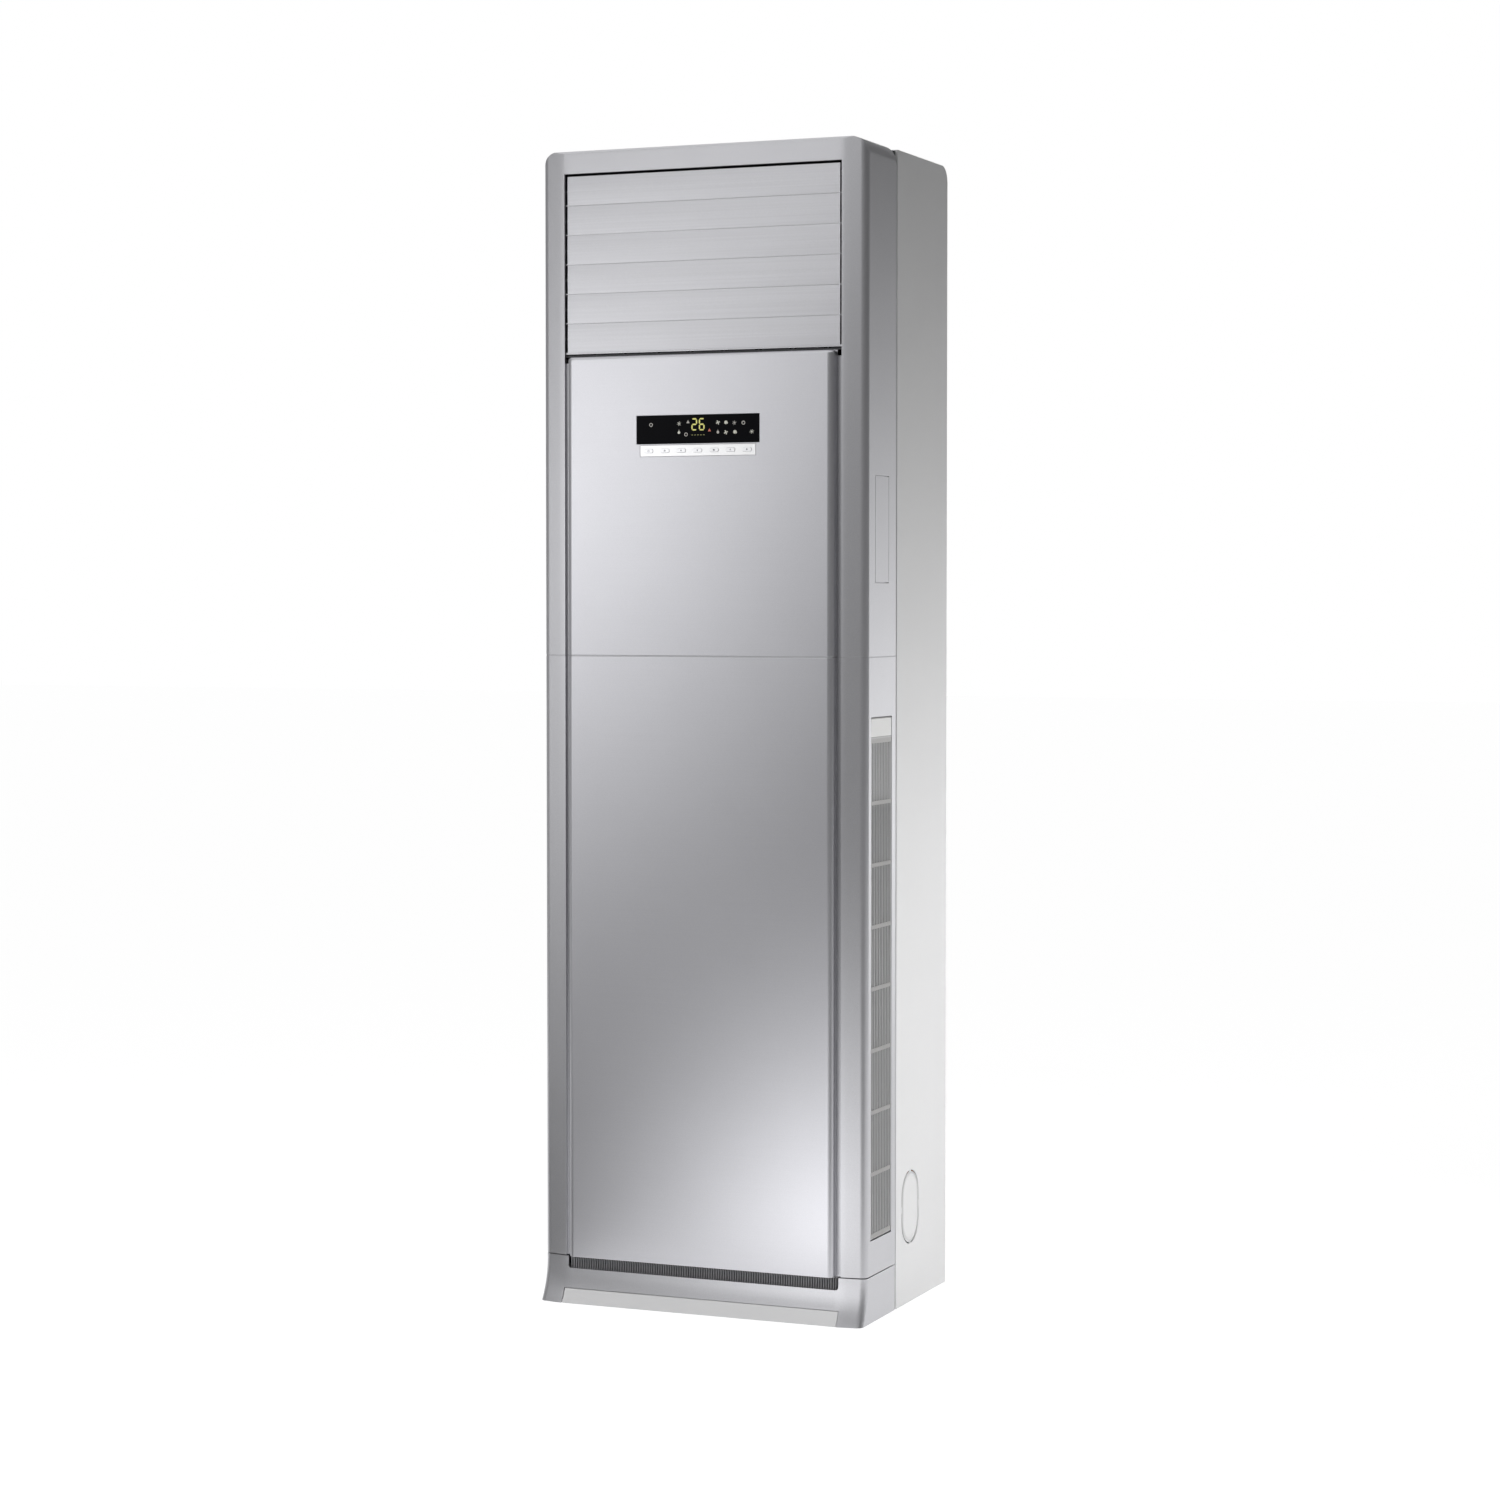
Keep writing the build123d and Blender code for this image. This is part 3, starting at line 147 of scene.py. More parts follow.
def addStep(tree, value, low, high):
    # rises smoothly from 0 at low to 1 at high
    ramp = tree.nodes.new("ShaderNodeMapRange")
    ramp.interpolation_type = "SMOOTHSTEP"
    ramp.inputs["From Min"].default_value = low
    ramp.inputs["From Max"].default_value = high
    tree.links.new(value, ramp.inputs["Value"])
    return ramp.outputs["Result"]


def addPlace(tree):
    place = tree.nodes.new("ShaderNodeTexCoord")
    apart = tree.nodes.new("ShaderNodeSeparateXYZ")
    tree.links.new(place.outputs["Object"], apart.inputs[0])
    return apart.outputs


def addNoise(tree, detail, scaling=None):
    # noise in object coordinates, stretched by a Mapping node when scaling is given
    place = tree.nodes.new("ShaderNodeTexCoord")
    noise = tree.nodes.new("ShaderNodeTexNoise")
    noise.inputs["Detail"].default_value = detail
    if scaling:
        mapping = tree.nodes.new("ShaderNodeMapping")
        mapping.inputs["Scale"].default_value = scaling
        tree.links.new(place.outputs["Object"], mapping.inputs["Vector"])
        tree.links.new(mapping.outputs["Vector"], noise.inputs["Vector"])
    else:
        tree.links.new(place.outputs["Object"], noise.inputs["Vector"])
    return noise


def addShade(tree, mask, colourSocket, amountSocket):
    # brightens and darkens a colour round its own value by a mask whose middle is 0.5
    centred = addMath(tree, "SUBTRACT", mask, 0.5)
    return addScaled(tree, colourSocket, addMath(tree, "MULTIPLY_ADD", centred, amountSocket, 1.0))


middleGrey = (0.5, 0.5, 0.5, 1)
colourAndHeight = [("Colour", "NodeSocketColor"), ("Height", "NodeSocketFloat")]


def makePaintFlake():
    # the sparkle of metallic paint over a faint large mottle
    sizes = {"flakeDetail": 1.0, "mottleDetail": 2.0, "mottleScale": 14.0}
    group, given, result = newGroup("paintFlake", [
        ("Colour", "NodeSocketColor", middleGrey),
        ("Flake Scale", "NodeSocketFloat", 1600.0),
        ("Flake Amount", "NodeSocketFloat", 0.2),
        ("Mottle Amount", "NodeSocketFloat", 0.05),
    ], colourAndHeight)
    flake = addNoise(group, sizes["flakeDetail"])
    group.links.new(given.outputs["Flake Scale"], flake.inputs["Scale"])
    mottle = addNoise(group, sizes["mottleDetail"])
    mottle.inputs["Scale"].default_value = sizes["mottleScale"]
    sparkled = addShade(group, flake.outputs["Fac"], given.outputs["Colour"], given.outputs["Flake Amount"])
    mottled = addShade(group, mottle.outputs["Fac"], sparkled, given.outputs["Mottle Amount"])
    group.links.new(mottled, result.inputs["Colour"])
    group.links.new(flake.outputs["Fac"], result.inputs["Height"])
    return group


def makeBrushGrain():
    # fine level lines, as on brushed sheet
    sizes = {"detail": 4.0, "stretch": (5.0, 5.0, 900.0)}
    group, given, result = newGroup("brushGrain", [
        ("Colour", "NodeSocketColor", middleGrey),
        ("Line Scale", "NodeSocketFloat", 1.0),
        ("Line Amount", "NodeSocketFloat", 0.1),
    ], colourAndHeight)
    lines = addNoise(group, sizes["detail"], sizes["stretch"])
    group.links.new(given.outputs["Line Scale"], lines.inputs["Scale"])
    lined = addShade(group, lines.outputs["Fac"], given.outputs["Colour"], given.outputs["Line Amount"])
    group.links.new(lined, result.inputs["Colour"])
    group.links.new(lines.outputs["Fac"], result.inputs["Height"])
    return group


def makeMouldGrain():
    # the even grain of powder coat and spark-eroded moulds
    sizes = {"grainDetail": 2.0, "tintDetail": 3.0, "tintScale": 9.0}
    group, given, result = newGroup("mouldGrain", [
        ("Colour", "NodeSocketColor", middleGrey),
        ("Grain Scale", "NodeSocketFloat", 500.0),
        ("Tint Amount", "NodeSocketFloat", 0.05),
    ], colourAndHeight)
    grain = addNoise(group, sizes["grainDetail"])
    group.links.new(given.outputs["Grain Scale"], grain.inputs["Scale"])
    tint = addNoise(group, sizes["tintDetail"])
    tint.inputs["Scale"].default_value = sizes["tintScale"]
    tinted = addShade(group, tint.outputs["Fac"], given.outputs["Colour"], given.outputs["Tint Amount"])
    group.links.new(tinted, result.inputs["Colour"])
    group.links.new(grain.outputs["Fac"], result.inputs["Height"])
    return group


paintFlake = makePaintFlake()
brushGrain = makeBrushGrain()
mouldGrain = makeMouldGrain()


def newFinish(name, roughness, metallic=0.0):
    material = bpy.data.materials.new(name)
    material.use_nodes = True
    shader = material.node_tree.nodes["Principled BSDF"]
    shader.inputs["Roughness"].default_value = roughness
    shader.inputs["Metallic"].default_value = metallic
    return material, material.node_tree, shader


def addEffect(tree, group, values):
    effect = tree.nodes.new("ShaderNodeGroup")
    effect.node_tree = group
    for label, value in values.items():
        effect.inputs[label].default_value = value
    return effect


def addBump(tree, shader, height, depth):
    bump = tree.nodes.new("ShaderNodeBump")
    bump.inputs["Distance"].default_value = depth
    bump.inputs["Strength"].default_value = 1.0
    tree.links.new(height, bump.inputs["Height"])
    tree.links.new(bump.outputs["Normal"], shader.inputs["Normal"])
    return bump


def silverPaint(name, look):
    material, tree, shader = newFinish(name, look["roughness"], look["metallic"])
    flake = addEffect(tree, paintFlake, {
        "Colour": (*look["colour"], 1), "Flake Amount": look["flake"], "Mottle Amount": look["mottle"],
    })
    grain = addEffect(tree, brushGrain, {"Line Amount": look["lines"], "Line Scale": look["lineScale"]})
    tree.links.new(flake.outputs["Colour"], grain.inputs["Colour"])
    tree.links.new(grain.outputs["Colour"], shader.inputs["Base Color"])
    addBump(tree, shader, grain.outputs["Height"], look["depth"])
    return material


def grainedSurface(name, look):
    material, tree, shader = newFinish(name, look["roughness"], look.get("metallic", 0.0))
    shader.inputs["Specular IOR Level"].default_value = look.get("specular", 0.5)
    grain = addEffect(tree, mouldGrain, {
        "Colour": (*look["colour"], 1), "Grain Scale": look["grain"], "Tint Amount": look["tint"],
    })
    tree.links.new(grain.outputs["Colour"], shader.inputs["Base Color"])
    addBump(tree, shader, grain.outputs["Height"], look["depth"])
    return material


def grilleSurface(name, look):
    # the level ribs of the grille are painted darker than its upright bars, a painted shade where they lie
    # further back, and its top row is lighter
    material, tree, shader = newFinish(name, look["roughness"])
    up = addPlace(tree)["Z"]
    turns = addMath(tree, "MULTIPLY_ADD", up, 1 / look["pitch"], 0.5 - look["middle"] / look["pitch"])
    away = addMath(tree, "ABSOLUTE", addMath(tree, "SUBTRACT", addMath(tree, "FRACT", turns), 0.5))
    bars = addStep(tree, away, look["rib"][0] / look["pitch"], look["rib"][1] / look["pitch"])
    light = addMath(tree, "MULTIPLY_ADD", addStep(tree, up, *look["upper"]), look["upperLift"], 1.0)
    mix = tree.nodes.new("ShaderNodeMix")
    mix.data_type = "RGBA"
    mix.inputs["A"].default_value = (*look["ribShadeColour"], 1)
    mix.inputs["B"].default_value = (*look["colour"], 1)
    tree.links.new(bars, mix.inputs["Factor"])
    grain = addEffect(tree, mouldGrain, {"Grain Scale": look["grain"], "Tint Amount": look["tint"]})
    tree.links.new(addScaled(tree, mix.outputs["Result"], light), grain.inputs["Colour"])
    tree.links.new(grain.outputs["Colour"], shader.inputs["Base Color"])
    addBump(tree, shader, grain.outputs["Height"], look["depth"])
    return material


def pressedSteel(name, look):
    # powder coat with a pressed rim along the slits of the pipe knock-out, and painted shade in the pressed
    # line
    material = grainedSurface(name, look)
    tree = material.node_tree
    shader = tree.nodes["Principled BSDF"]
    grainBump = shader.inputs["Normal"].links[0].from_node
    ring = look["ring"]
    place = addPlace(tree)
    # away is the distance to the edge of an upright oblong, whose straight sides are twice half long
    height = addMath(tree, "ABSOLUTE", addMath(tree, "SUBTRACT", place["Z"], ring["centre"][1]))
    along = addMath(tree, "MAXIMUM", addMath(tree, "SUBTRACT", height, ring["half"]), 0.0)
    across = addMath(tree, "SUBTRACT", place["Y"], ring["centre"][0])
    alongSquare = addMath(tree, "MULTIPLY", along, along)
    acrossSquare = addMath(tree, "MULTIPLY", across, across)
    reach = addMath(tree, "SQRT", addMath(tree, "ADD", alongSquare, acrossSquare))
    away = addMath(tree, "ABSOLUTE", addMath(tree, "SUBTRACT", reach, ring["radius"]))
    # painted shade: the colour is darkened along the pressed line, where shade falls in the groove
    clear = addStep(tree, away, 0.0, ring["rim"] / 2)
    shadeScale = addMath(tree, "MULTIPLY_ADD", clear, ring["grooveShade"], 1 - ring["grooveShade"])
    coat = shader.inputs["Base Color"].links[0].from_socket
    tree.links.new(addScaled(tree, coat, shadeScale), shader.inputs["Base Color"])
    rimBump = addBump(tree, shader, addStep(tree, away, 0.0, ring["rim"]), ring["press"])
    tree.links.new(grainBump.outputs["Normal"], rimBump.inputs["Normal"])
    return material


def brushedMetal(name, look):
    material, tree, shader = newFinish(name, look["roughness"], 1.0)
    grain = addEffect(tree, brushGrain, {
        "Colour": (*look["colour"], 1), "Line Amount": look["lines"], "Line Scale": look["lineScale"],
    })
    tree.links.new(grain.outputs["Colour"], shader.inputs["Base Color"])
    addBump(tree, shader, grain.outputs["Height"], look["depth"])
    return material


def glowingPrint(name, look):
    # lit symbols behind the window: a soft uneven glow
    material, tree, shader = newFinish(name, look["roughness"])
    grain = addEffect(tree, mouldGrain, {
        "Colour": (*look["colour"], 1), "Grain Scale": look["grain"], "Tint Amount": look["tint"],
    })
    tree.links.new(grain.outputs["Colour"], shader.inputs["Base Color"])
    tree.links.new(grain.outputs["Colour"], shader.inputs["Emission Color"])
    shader.inputs["Emission Strength"].default_value = look["glow"]
    return material


finishes = {
    "silver_frame": silverPaint("silverFramePaint", {
        "colour": (0.55, 0.55, 0.573), "metallic": 0.85, "roughness": 0.36,
        "flake": 0.35, "mottle": 0.04, "lines": 0.0, "lineScale": 1.0, "depth": 0.00001,
    }),
    "silver_panel": silverPaint("silverPanelPaint", {
        "colour": (0.58, 0.58, 0.61), "metallic": 0.88, "roughness": 0.33,
        "flake": 0.25, "mottle": 0.03, "lines": 0.05, "lineScale": 1.0, "depth": 0.00001,
    }),
    "silver_louver": silverPaint("silverLouverPaint", {
        "colour": (0.54, 0.54, 0.563), "metallic": 0.85, "roughness": 0.36,
        "flake": 0.25, "mottle": 0.03, "lines": 0.16, "lineScale": 0.6, "depth": 0.00004,
    }),
    "bright_strip": silverPaint("brightStripPaint", {
        "colour": (0.84, 0.84, 0.85), "metallic": 0.85, "roughness": 0.3,
        "flake": 0.1, "mottle": 0.02, "lines": 0.03, "lineScale": 1.0, "depth": 0.000005,
    }),
    "button_silver": silverPaint("buttonPaint", {
        "colour": (0.8, 0.8, 0.82), "metallic": 0.85, "roughness": 0.28,
        "flake": 0.1, "mottle": 0.02, "lines": 0.0, "lineScale": 1.0, "depth": 0.000005,
    }),
    "display_black": grainedSurface("displayWindow", {
        "colour": (0.003, 0.003, 0.004), "roughness": 0.12, "specular": 0.03,
        "grain": 40.0, "tint": 0.4, "depth": 0.000002,
    }),
    "circuit_board": grainedSurface("boardLaminate", {
        "colour": (0.02, 0.12, 0.05), "roughness": 0.45, "grain": 300.0, "tint": 0.3, "depth": 0.00003,
    }),
    "duct_black": grainedSurface("ductPlastic", {
        "colour": (0.03, 0.03, 0.033), "roughness": 0.55, "grain": 700.0, "tint": 0.2, "depth": 0.00003,
    }),
    "vane_grey": grainedSurface("vanePlastic", {
        "colour": (0.11, 0.11, 0.115), "roughness": 0.5, "grain": 700.0, "tint": 0.15, "depth": 0.00003,
    }),
    "motor_grey": grainedSurface("motorHousing", {
        "colour": (0.2, 0.2, 0.21), "roughness": 0.4, "metallic": 0.6,
        "grain": 500.0, "tint": 0.2, "depth": 0.00003,
    }),
    "grille_grey": grilleSurface("grillePlastic", {
        "colour": (0.37, 0.37, 0.373), "roughness": 0.45, "grain": 800.0, "tint": 0.06, "depth": 0.00002,
        # the rib colour is painted shade: a darker colour on the level ribs, where they lie back
        "middle": 0.5035, "pitch": 0.093125, "rib": (0.0028, 0.0042), "ribShadeColour": (0.3, 0.295, 0.29),
        "upper": (0.77, 0.8), "upperLift": 0.35,
    }),
    "filter_white": grainedSurface("filterPlastic", {
        "colour": (0.78, 0.78, 0.77), "roughness": 0.4, "grain": 800.0, "tint": 0.05, "depth": 0.00002,
    }),
    "white_steel": pressedSteel("powderCoatedSteel", {
        "colour": (0.74, 0.74, 0.745), "roughness": 0.42, "grain": 450.0, "tint": 0.03, "depth": 0.00003,
        "ring": {
            "centre": (0.0255, 0.148), "half": 0.019, "radius": 0.034,
            # the last value is the share by which painted shade darkens the colour along the pressed line
            "rim": 0.006, "press": 0.002, "grooveShade": 0.25,
        },
    }),
    "plain_steel": brushedMetal("galvanisedSteel", {
        "colour": (0.5, 0.51, 0.52), "roughness": 0.4, "lines": 0.15, "lineScale": 0.5, "depth": 0.00002,
    }),
    "foam_white": grainedSurface("foamBoard", {
        "colour": (0.8, 0.8, 0.78), "roughness": 0.85, "grain": 260.0, "tint": 0.06, "depth": 0.0004,
    }),
    "fin_aluminium": brushedMetal("finAluminium", {
        "colour": (0.62, 0.63, 0.65), "roughness": 0.35, "lines": 0.2, "lineScale": 0.3, "depth": 0.00003,
    }),
    "copper": brushedMetal("copperTube", {
        "colour": (0.62, 0.28, 0.16), "roughness": 0.3, "lines": 0.1, "lineScale": 0.3, "depth": 0.00001,
    }),
    "fan_plastic": grainedSurface("fanPlastic", {
        "colour": (0.08, 0.085, 0.09), "roughness": 0.45, "grain": 600.0, "tint": 0.15, "depth": 0.00003,
    }),
}
for node, slot in slotOf.items():
    mesh = cadNodes[node].data
    mesh.materials.clear()
    mesh.materials.append(finishes[slot])
print("materials on all CAD nodes")


def finishPiece(piece, material, body):
    piece.data.materials.clear()
    piece.data.materials.append(material)
    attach(piece, body)


def selectWhere(piece, kind, wanted):
    # in edit mode: only the vertices or faces that pass the test are left selected
    bpy.ops.mesh.select_mode(type=kind)
    bpy.ops.mesh.select_all(action="DESELECT")
    shape = bmesh.from_edit_mesh(piece.data)
    for part in shape.verts if kind == "VERT" else shape.faces:
        if wanted(part):
            part.select_set(True)
    bmesh.update_edit_mesh(piece.data)


def copyAt(piece, name, place, turn=0.0, size=1.0):
    twin = piece.copy()
    twin.data = piece.data.copy()
    twin.name = name
    scene.collection.objects.link(twin)
    twin.location = place
    twin.rotation_euler = (0, turn, 0)
    twin.scale = (size, 1, size)
    placeInMesh(twin)
    return twin


def joinAs(pieces, name):
    deselectAll()
    for piece in pieces:
        piece.select_set(True)
    bpy.context.view_layer.objects.active = pieces[0]
    bpy.ops.object.join()
    pieces[0].name = name
    return pieces[0]


# lit symbols on the window and printed marks on the buttons
iconSizes = {
    "thickness": 0.00006, "lift": 0.00001, "size": 0.0034,
    "blank": 0.02,  # thickness while it is drawn, before it is scaled
    "tip": 0.98,  # share of the core's radius above which a point is the tip of a drop
    "facing": 0.98,  # how squarely a side has to face the way in which it is extruded
}
iconShapes = {
    "sun": {"sides": 16, "core": 0.42, "rayEvery": 2, "ray": 0.45, "flare": 0.5},
    "snow": {"sides": 12, "core": 0.3, "rayEvery": 2, "ray": 0.7, "flare": 1.2},
    "fan": {"sides": 8, "core": 0.34, "rayEvery": 2, "ray": 0.62, "flare": 2.4},
    "drop": {"sides": 20, "core": 0.62, "peak": 0.75},
    "ring": {"sides": 24, "core": 0.85, "wall": 0.3},
    "arrow": {"sides": 3, "core": 0.9},
}


def growRays(icon, shape):
    step = 2 * math.pi / shape["sides"] * shape["rayEvery"]
    for turn in range(shape["sides"] // shape["rayEvery"]):
        angle = math.pi / shape["sides"] + turn * step
        way = Vector((math.cos(angle), 0, math.sin(angle)))
        selectWhere(icon, "FACE", lambda face: face.normal.dot(way) > iconSizes["facing"])
        bpy.ops.mesh.extrude_region_move(TRANSFORM_OT_translate={"value": way * shape["ray"]})
        tip = way * (shape["core"] + shape["ray"])
        bpy.ops.transform.resize(value=(shape["flare"], 1, shape["flare"]), center_override=tip)


def newIcon(name, shape):
    # drawn facing -y round the origin, then extruded to its thickness
    deselectAll()
    bpy.ops.mesh.primitive_circle_add(
        vertices=shape["sides"], radius=shape["core"], fill_type="NGON", rotation=(math.radians(90), 0, 0)
    )
    icon = bpy.context.object
    icon.name = name
    placeInMesh(icon)
    bpy.ops.object.mode_set(mode="EDIT")
    if "peak" in shape:
        selectWhere(icon, "VERT", lambda vert: vert.co.z > iconSizes["tip"] * shape["core"])
        bpy.ops.transform.translate(value=(0, 0, shape["peak"]))
    bpy.ops.mesh.select_all(action="SELECT")
    if "wall" in shape:
        bpy.ops.mesh.inset(thickness=shape["wall"])
        bpy.ops.mesh.delete(type="FACE")
        bpy.ops.mesh.select_all(action="SELECT")
    bpy.ops.mesh.extrude_region_move(TRANSFORM_OT_translate={"value": (0, -iconSizes["blank"], 0)})
    if "ray" in shape:
        growRays(icon, shape)
    bpy.ops.mesh.select_all(action="SELECT")
    bpy.ops.mesh.normals_make_consistent(inside=False)
    bpy.ops.object.mode_set(mode="OBJECT")
    icon.scale = (iconSizes["size"], iconSizes["thickness"] / iconSizes["blank"], iconSizes["size"])
    placeInMesh(icon)
    return icon


def newBar(name, size, point):
    # one lit bar along x, facing -y, whose ends narrow to a share of its height
    deselectAll()
    bpy.ops.mesh.primitive_cube_add(size=1, scale=size)
    bar = bpy.context.object
    bar.name = name
    placeInMesh(bar)
    bpy.ops.object.mode_set(mode="EDIT")
    for side in (-1, 1):
        selectWhere(bar, "FACE", lambda face: face.normal.x * side > iconSizes["facing"])
        bpy.ops.mesh.extrude_region_move(TRANSFORM_OT_translate={"value": (side * size[2] / 2, 0, 0)})
        bpy.ops.transform.resize(value=(1, 1, point))
    bpy.ops.object.mode_set(mode="OBJECT")
    return bar


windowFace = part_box("display_window")[0].y
icons = {name: newIcon(name + "Icon", shape) for name, shape in iconShapes.items()}

# symbol, place across, height and light
windowIcons = [
    ("ring", -0.0769, 1.353, "dim"), ("snow", -0.0306, 1.354, "white"), ("drop", -0.0306, 1.3406, "white"),
    ("arrow", -0.0157, 1.356, "dim"), ("ring", -0.019, 1.3375, "dim"), ("arrow", 0.0196, 1.343, "red"),
    ("fan", 0.0335, 1.3546, "white"), ("sun", 0.0465, 1.3545, "white"), ("snow", 0.0604, 1.3536, "dim"),
    ("ring", 0.0751, 1.3535, "dim"), ("drop", 0.0335, 1.34, "dim"), ("fan", 0.0465, 1.3395, "white"),
    ("sun", 0.0612, 1.34, "white"), ("snow", 0.0889, 1.34, "white"),
]
litInk = {"roughness": 0.5, "grain": 900.0}  # the same in every lit print
prints = {
    "white": glowingPrint("whitePrint", {**litInk, "colour": (0.45, 0.45, 0.4), "glow": 0.36, "tint": 0.3}),
    "dim": glowingPrint("dimPrint", {**litInk, "colour": (0.3, 0.29, 0.27), "glow": 0.4, "tint": 0.3}),
    "red": glowingPrint("redPrint", {**litInk, "colour": (0.35, 0.1, 0.07), "glow": 0.4, "tint": 0.3}),
    "green": glowingPrint("digitPrint", {**litInk, "colour": (0.52, 0.5, 0.16), "glow": 0.42, "tint": 0.25}),
    "dimGreen": glowingPrint("levelPrint", {**litInk, "colour": (0.2, 0.2, 0.08), "glow": 0.5, "tint": 0.25}),
}
for tone in ("white", "dim", "red"):
    shown = [
        copyAt(icons[kind], "windowIcon", (x, windowFace - iconSizes["lift"], z))
        for kind, x, z, light in windowIcons if light == tone
    ]
    finishPiece(joinAs(shown, tone + "WindowIcons"), prints[tone], "cabinet")

# two lit figures, each put together from some of seven bars, and a row of level bars under them
digitSizes = {
    "centre": (0.0008, 1.3525), "wide": 0.0074, "high": 0.0165, "pitch": 0.0122, "stroke": 0.002,
    "gap": 1.3,  # strokes by which the straight part of a bar is shorter than the figure is wide
    "point": 0.15,  # share of the stroke that is left at the end of a bar
}
levelSizes = {"count": 5, "height": 1.3365, "pitch": 0.0048, "wide": 0.003}
figures = "26"
digitBars = {"2": "abged", "6": "acdefg"}
# each bar: side and height from the middle of the figure, and its turn in degrees
barPlaces = {
    "a": (0, 1, 0), "g": (0, 0, 0), "d": (0, -1, 0),
    "b": (1, 0.5, 90), "c": (1, -0.5, 90), "f": (-1, 0.5, 90), "e": (-1, -0.5, 90),
}
barLength = digitSizes["wide"] - digitSizes["gap"] * digitSizes["stroke"]
flatBar = newBar("digitBar", (barLength, iconSizes["thickness"], digitSizes["stroke"]), digitSizes["point"])
barDepth = windowFace - iconSizes["lift"] - iconSizes["thickness"] / 2
digitPieces = []
for column, figure in enumerate(figures):
    for letter in digitBars[figure]:
        across, up, turn = barPlaces[letter]
        x = digitSizes["centre"][0] + (column - 0.5) * digitSizes["pitch"] + across * digitSizes["wide"] / 2
        z = digitSizes["centre"][1] + up * digitSizes["high"] / 2
        digitPieces.append(copyAt(flatBar, "digitBar", (x, barDepth, z), math.radians(turn)))
finishPiece(joinAs(digitPieces, "windowDigits"), prints["green"], "cabinet")

levelStretch = levelSizes["wide"] / digitSizes["wide"]
levels = []
for count in range(levelSizes["count"]):
    x = digitSizes["centre"][0] + (count - (levelSizes["count"] - 1) / 2) * levelSizes["pitch"]
    levels.append(copyAt(flatBar, "levelBar", (x, barDepth, levelSizes["height"]), 0.0, levelStretch))
finishPiece(joinAs(levels, "windowLevels"), prints["dimGreen"], "cabinet")

# symbol of each button's mark and its turn in degrees, then the marks' size beside a window symbol
buttonMarks = [("ring", 0), ("fan", 0), ("arrow", 0), ("arrow", 60), ("sun", 0), ("snow", 0), ("drop", 0)]
markShare = 0.55
buttonInk = grainedSurface("buttonInk", {
    "colour": (0.22, 0.22, 0.24), "roughness": 0.5, "grain": 900.0, "tint": 0.2, "depth": 0.000005,
})
for count, (kind, turn) in enumerate(buttonMarks, start=1):
    low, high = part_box("button_%d" % count)
    middle = (low + high) / 2
    place = (middle.x, low.y - iconSizes["lift"], middle.z)
    mark = copyAt(icons[kind], "buttonMark%d" % count, place, math.radians(turn), markShare)
    finishPiece(mark, buttonInk, "button_%d" % count)
for spare in [*icons.values(), flatBar]:
    bpy.data.objects.remove(spare)
print("display symbols and button marks made")


edgeSizes = {"sharp": 30, "smooth": 40}  # degrees: bevelled above the first, shaded smooth below the second
mergeSizes = {"doubles": 0.00001, "flat": 0.3}  # metres between doubles, degrees between faces made one


def softEdges(piece, width, segments=2):
    # rounds the sharp edges and keeps the large faces flat
    activeOnly(piece)
    bevel = piece.modifiers.new("softEdge", "BEVEL")
    bevel.width = width
    bevel.segments = segments
    bevel.limit_method = "ANGLE"
    bevel.angle_limit = math.radians(edgeSizes["sharp"])
    bpy.ops.object.modifier_apply(modifier=bevel.name)
    bpy.ops.object.shade_smooth_by_angle(angle=math.radians(edgeSizes["smooth"]))
    weighted = piece.modifiers.new("flatFaces", "WEIGHTED_NORMAL")
    weighted.keep_sharp = True
    bpy.ops.object.modifier_apply(modifier=weighted.name)


def mergedCopy(node, name):
    # the mesh of a CAD node with its doubles merged and its flat faces made whole
    source = cadNodes[node]
    piece = source.copy()
    piece.data = source.data.copy()
    piece.name = name
    scene.collection.objects.link(piece)
    piece.parent = None
    piece.matrix_world.identity()
    activeOnly(piece)
    bpy.ops.object.mode_set(mode="EDIT")
    bpy.ops.mesh.select_all(action="SELECT")
    bpy.ops.mesh.remove_doubles(threshold=mergeSizes["doubles"])
    bpy.ops.mesh.dissolve_limited(angle_limit=math.radians(mergeSizes["flat"]))
    bpy.ops.object.mode_set(mode="OBJECT")
    return piece


def newBox(name, low, high):
    deselectAll()
    bpy.ops.mesh.primitive_cube_add(size=1)
    piece = bpy.context.object
    piece.name = name
    piece.scale = Vector(high) - Vector(low)
    piece.location = (Vector(high) + Vector(low)) / 2
    placeInMesh(piece)
    return piece


def dressedCopy(node, width):
    # a merged copy of a CAD node with softened edges stands for it
    piece = mergedCopy(node, node + "Dressed")
    softEdges(piece, width)
    slot = slotOf[node]
    finishPiece(piece, finishes[slot], node if node in frame["bodies"] else "cabinet")
    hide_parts(node)


# thin silver strip set back in the seam between the upper and the lower front parts
seamSizes = {
    "level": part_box("lower_front_shell")[1].z, "setBack": 0.0006, "rise": 0.0015,
    "facing": 0.99, "band": 0.0002,  # a face of the seam looks up and lies this near its level
}
seamSilver = silverPaint("seamStripPaint", {
    "colour": (0.5, 0.5, 0.52), "metallic": 0.7, "roughness": 0.45,
    "flake": 0.2, "mottle": 0.03, "lines": 0.0, "lineScale": 1.0, "depth": 0.00001,
})


def onSeam(face):
    level = face.calc_center_median().z
    return face.normal.z > seamSizes["facing"] and abs(level - seamSizes["level"]) < seamSizes["band"]


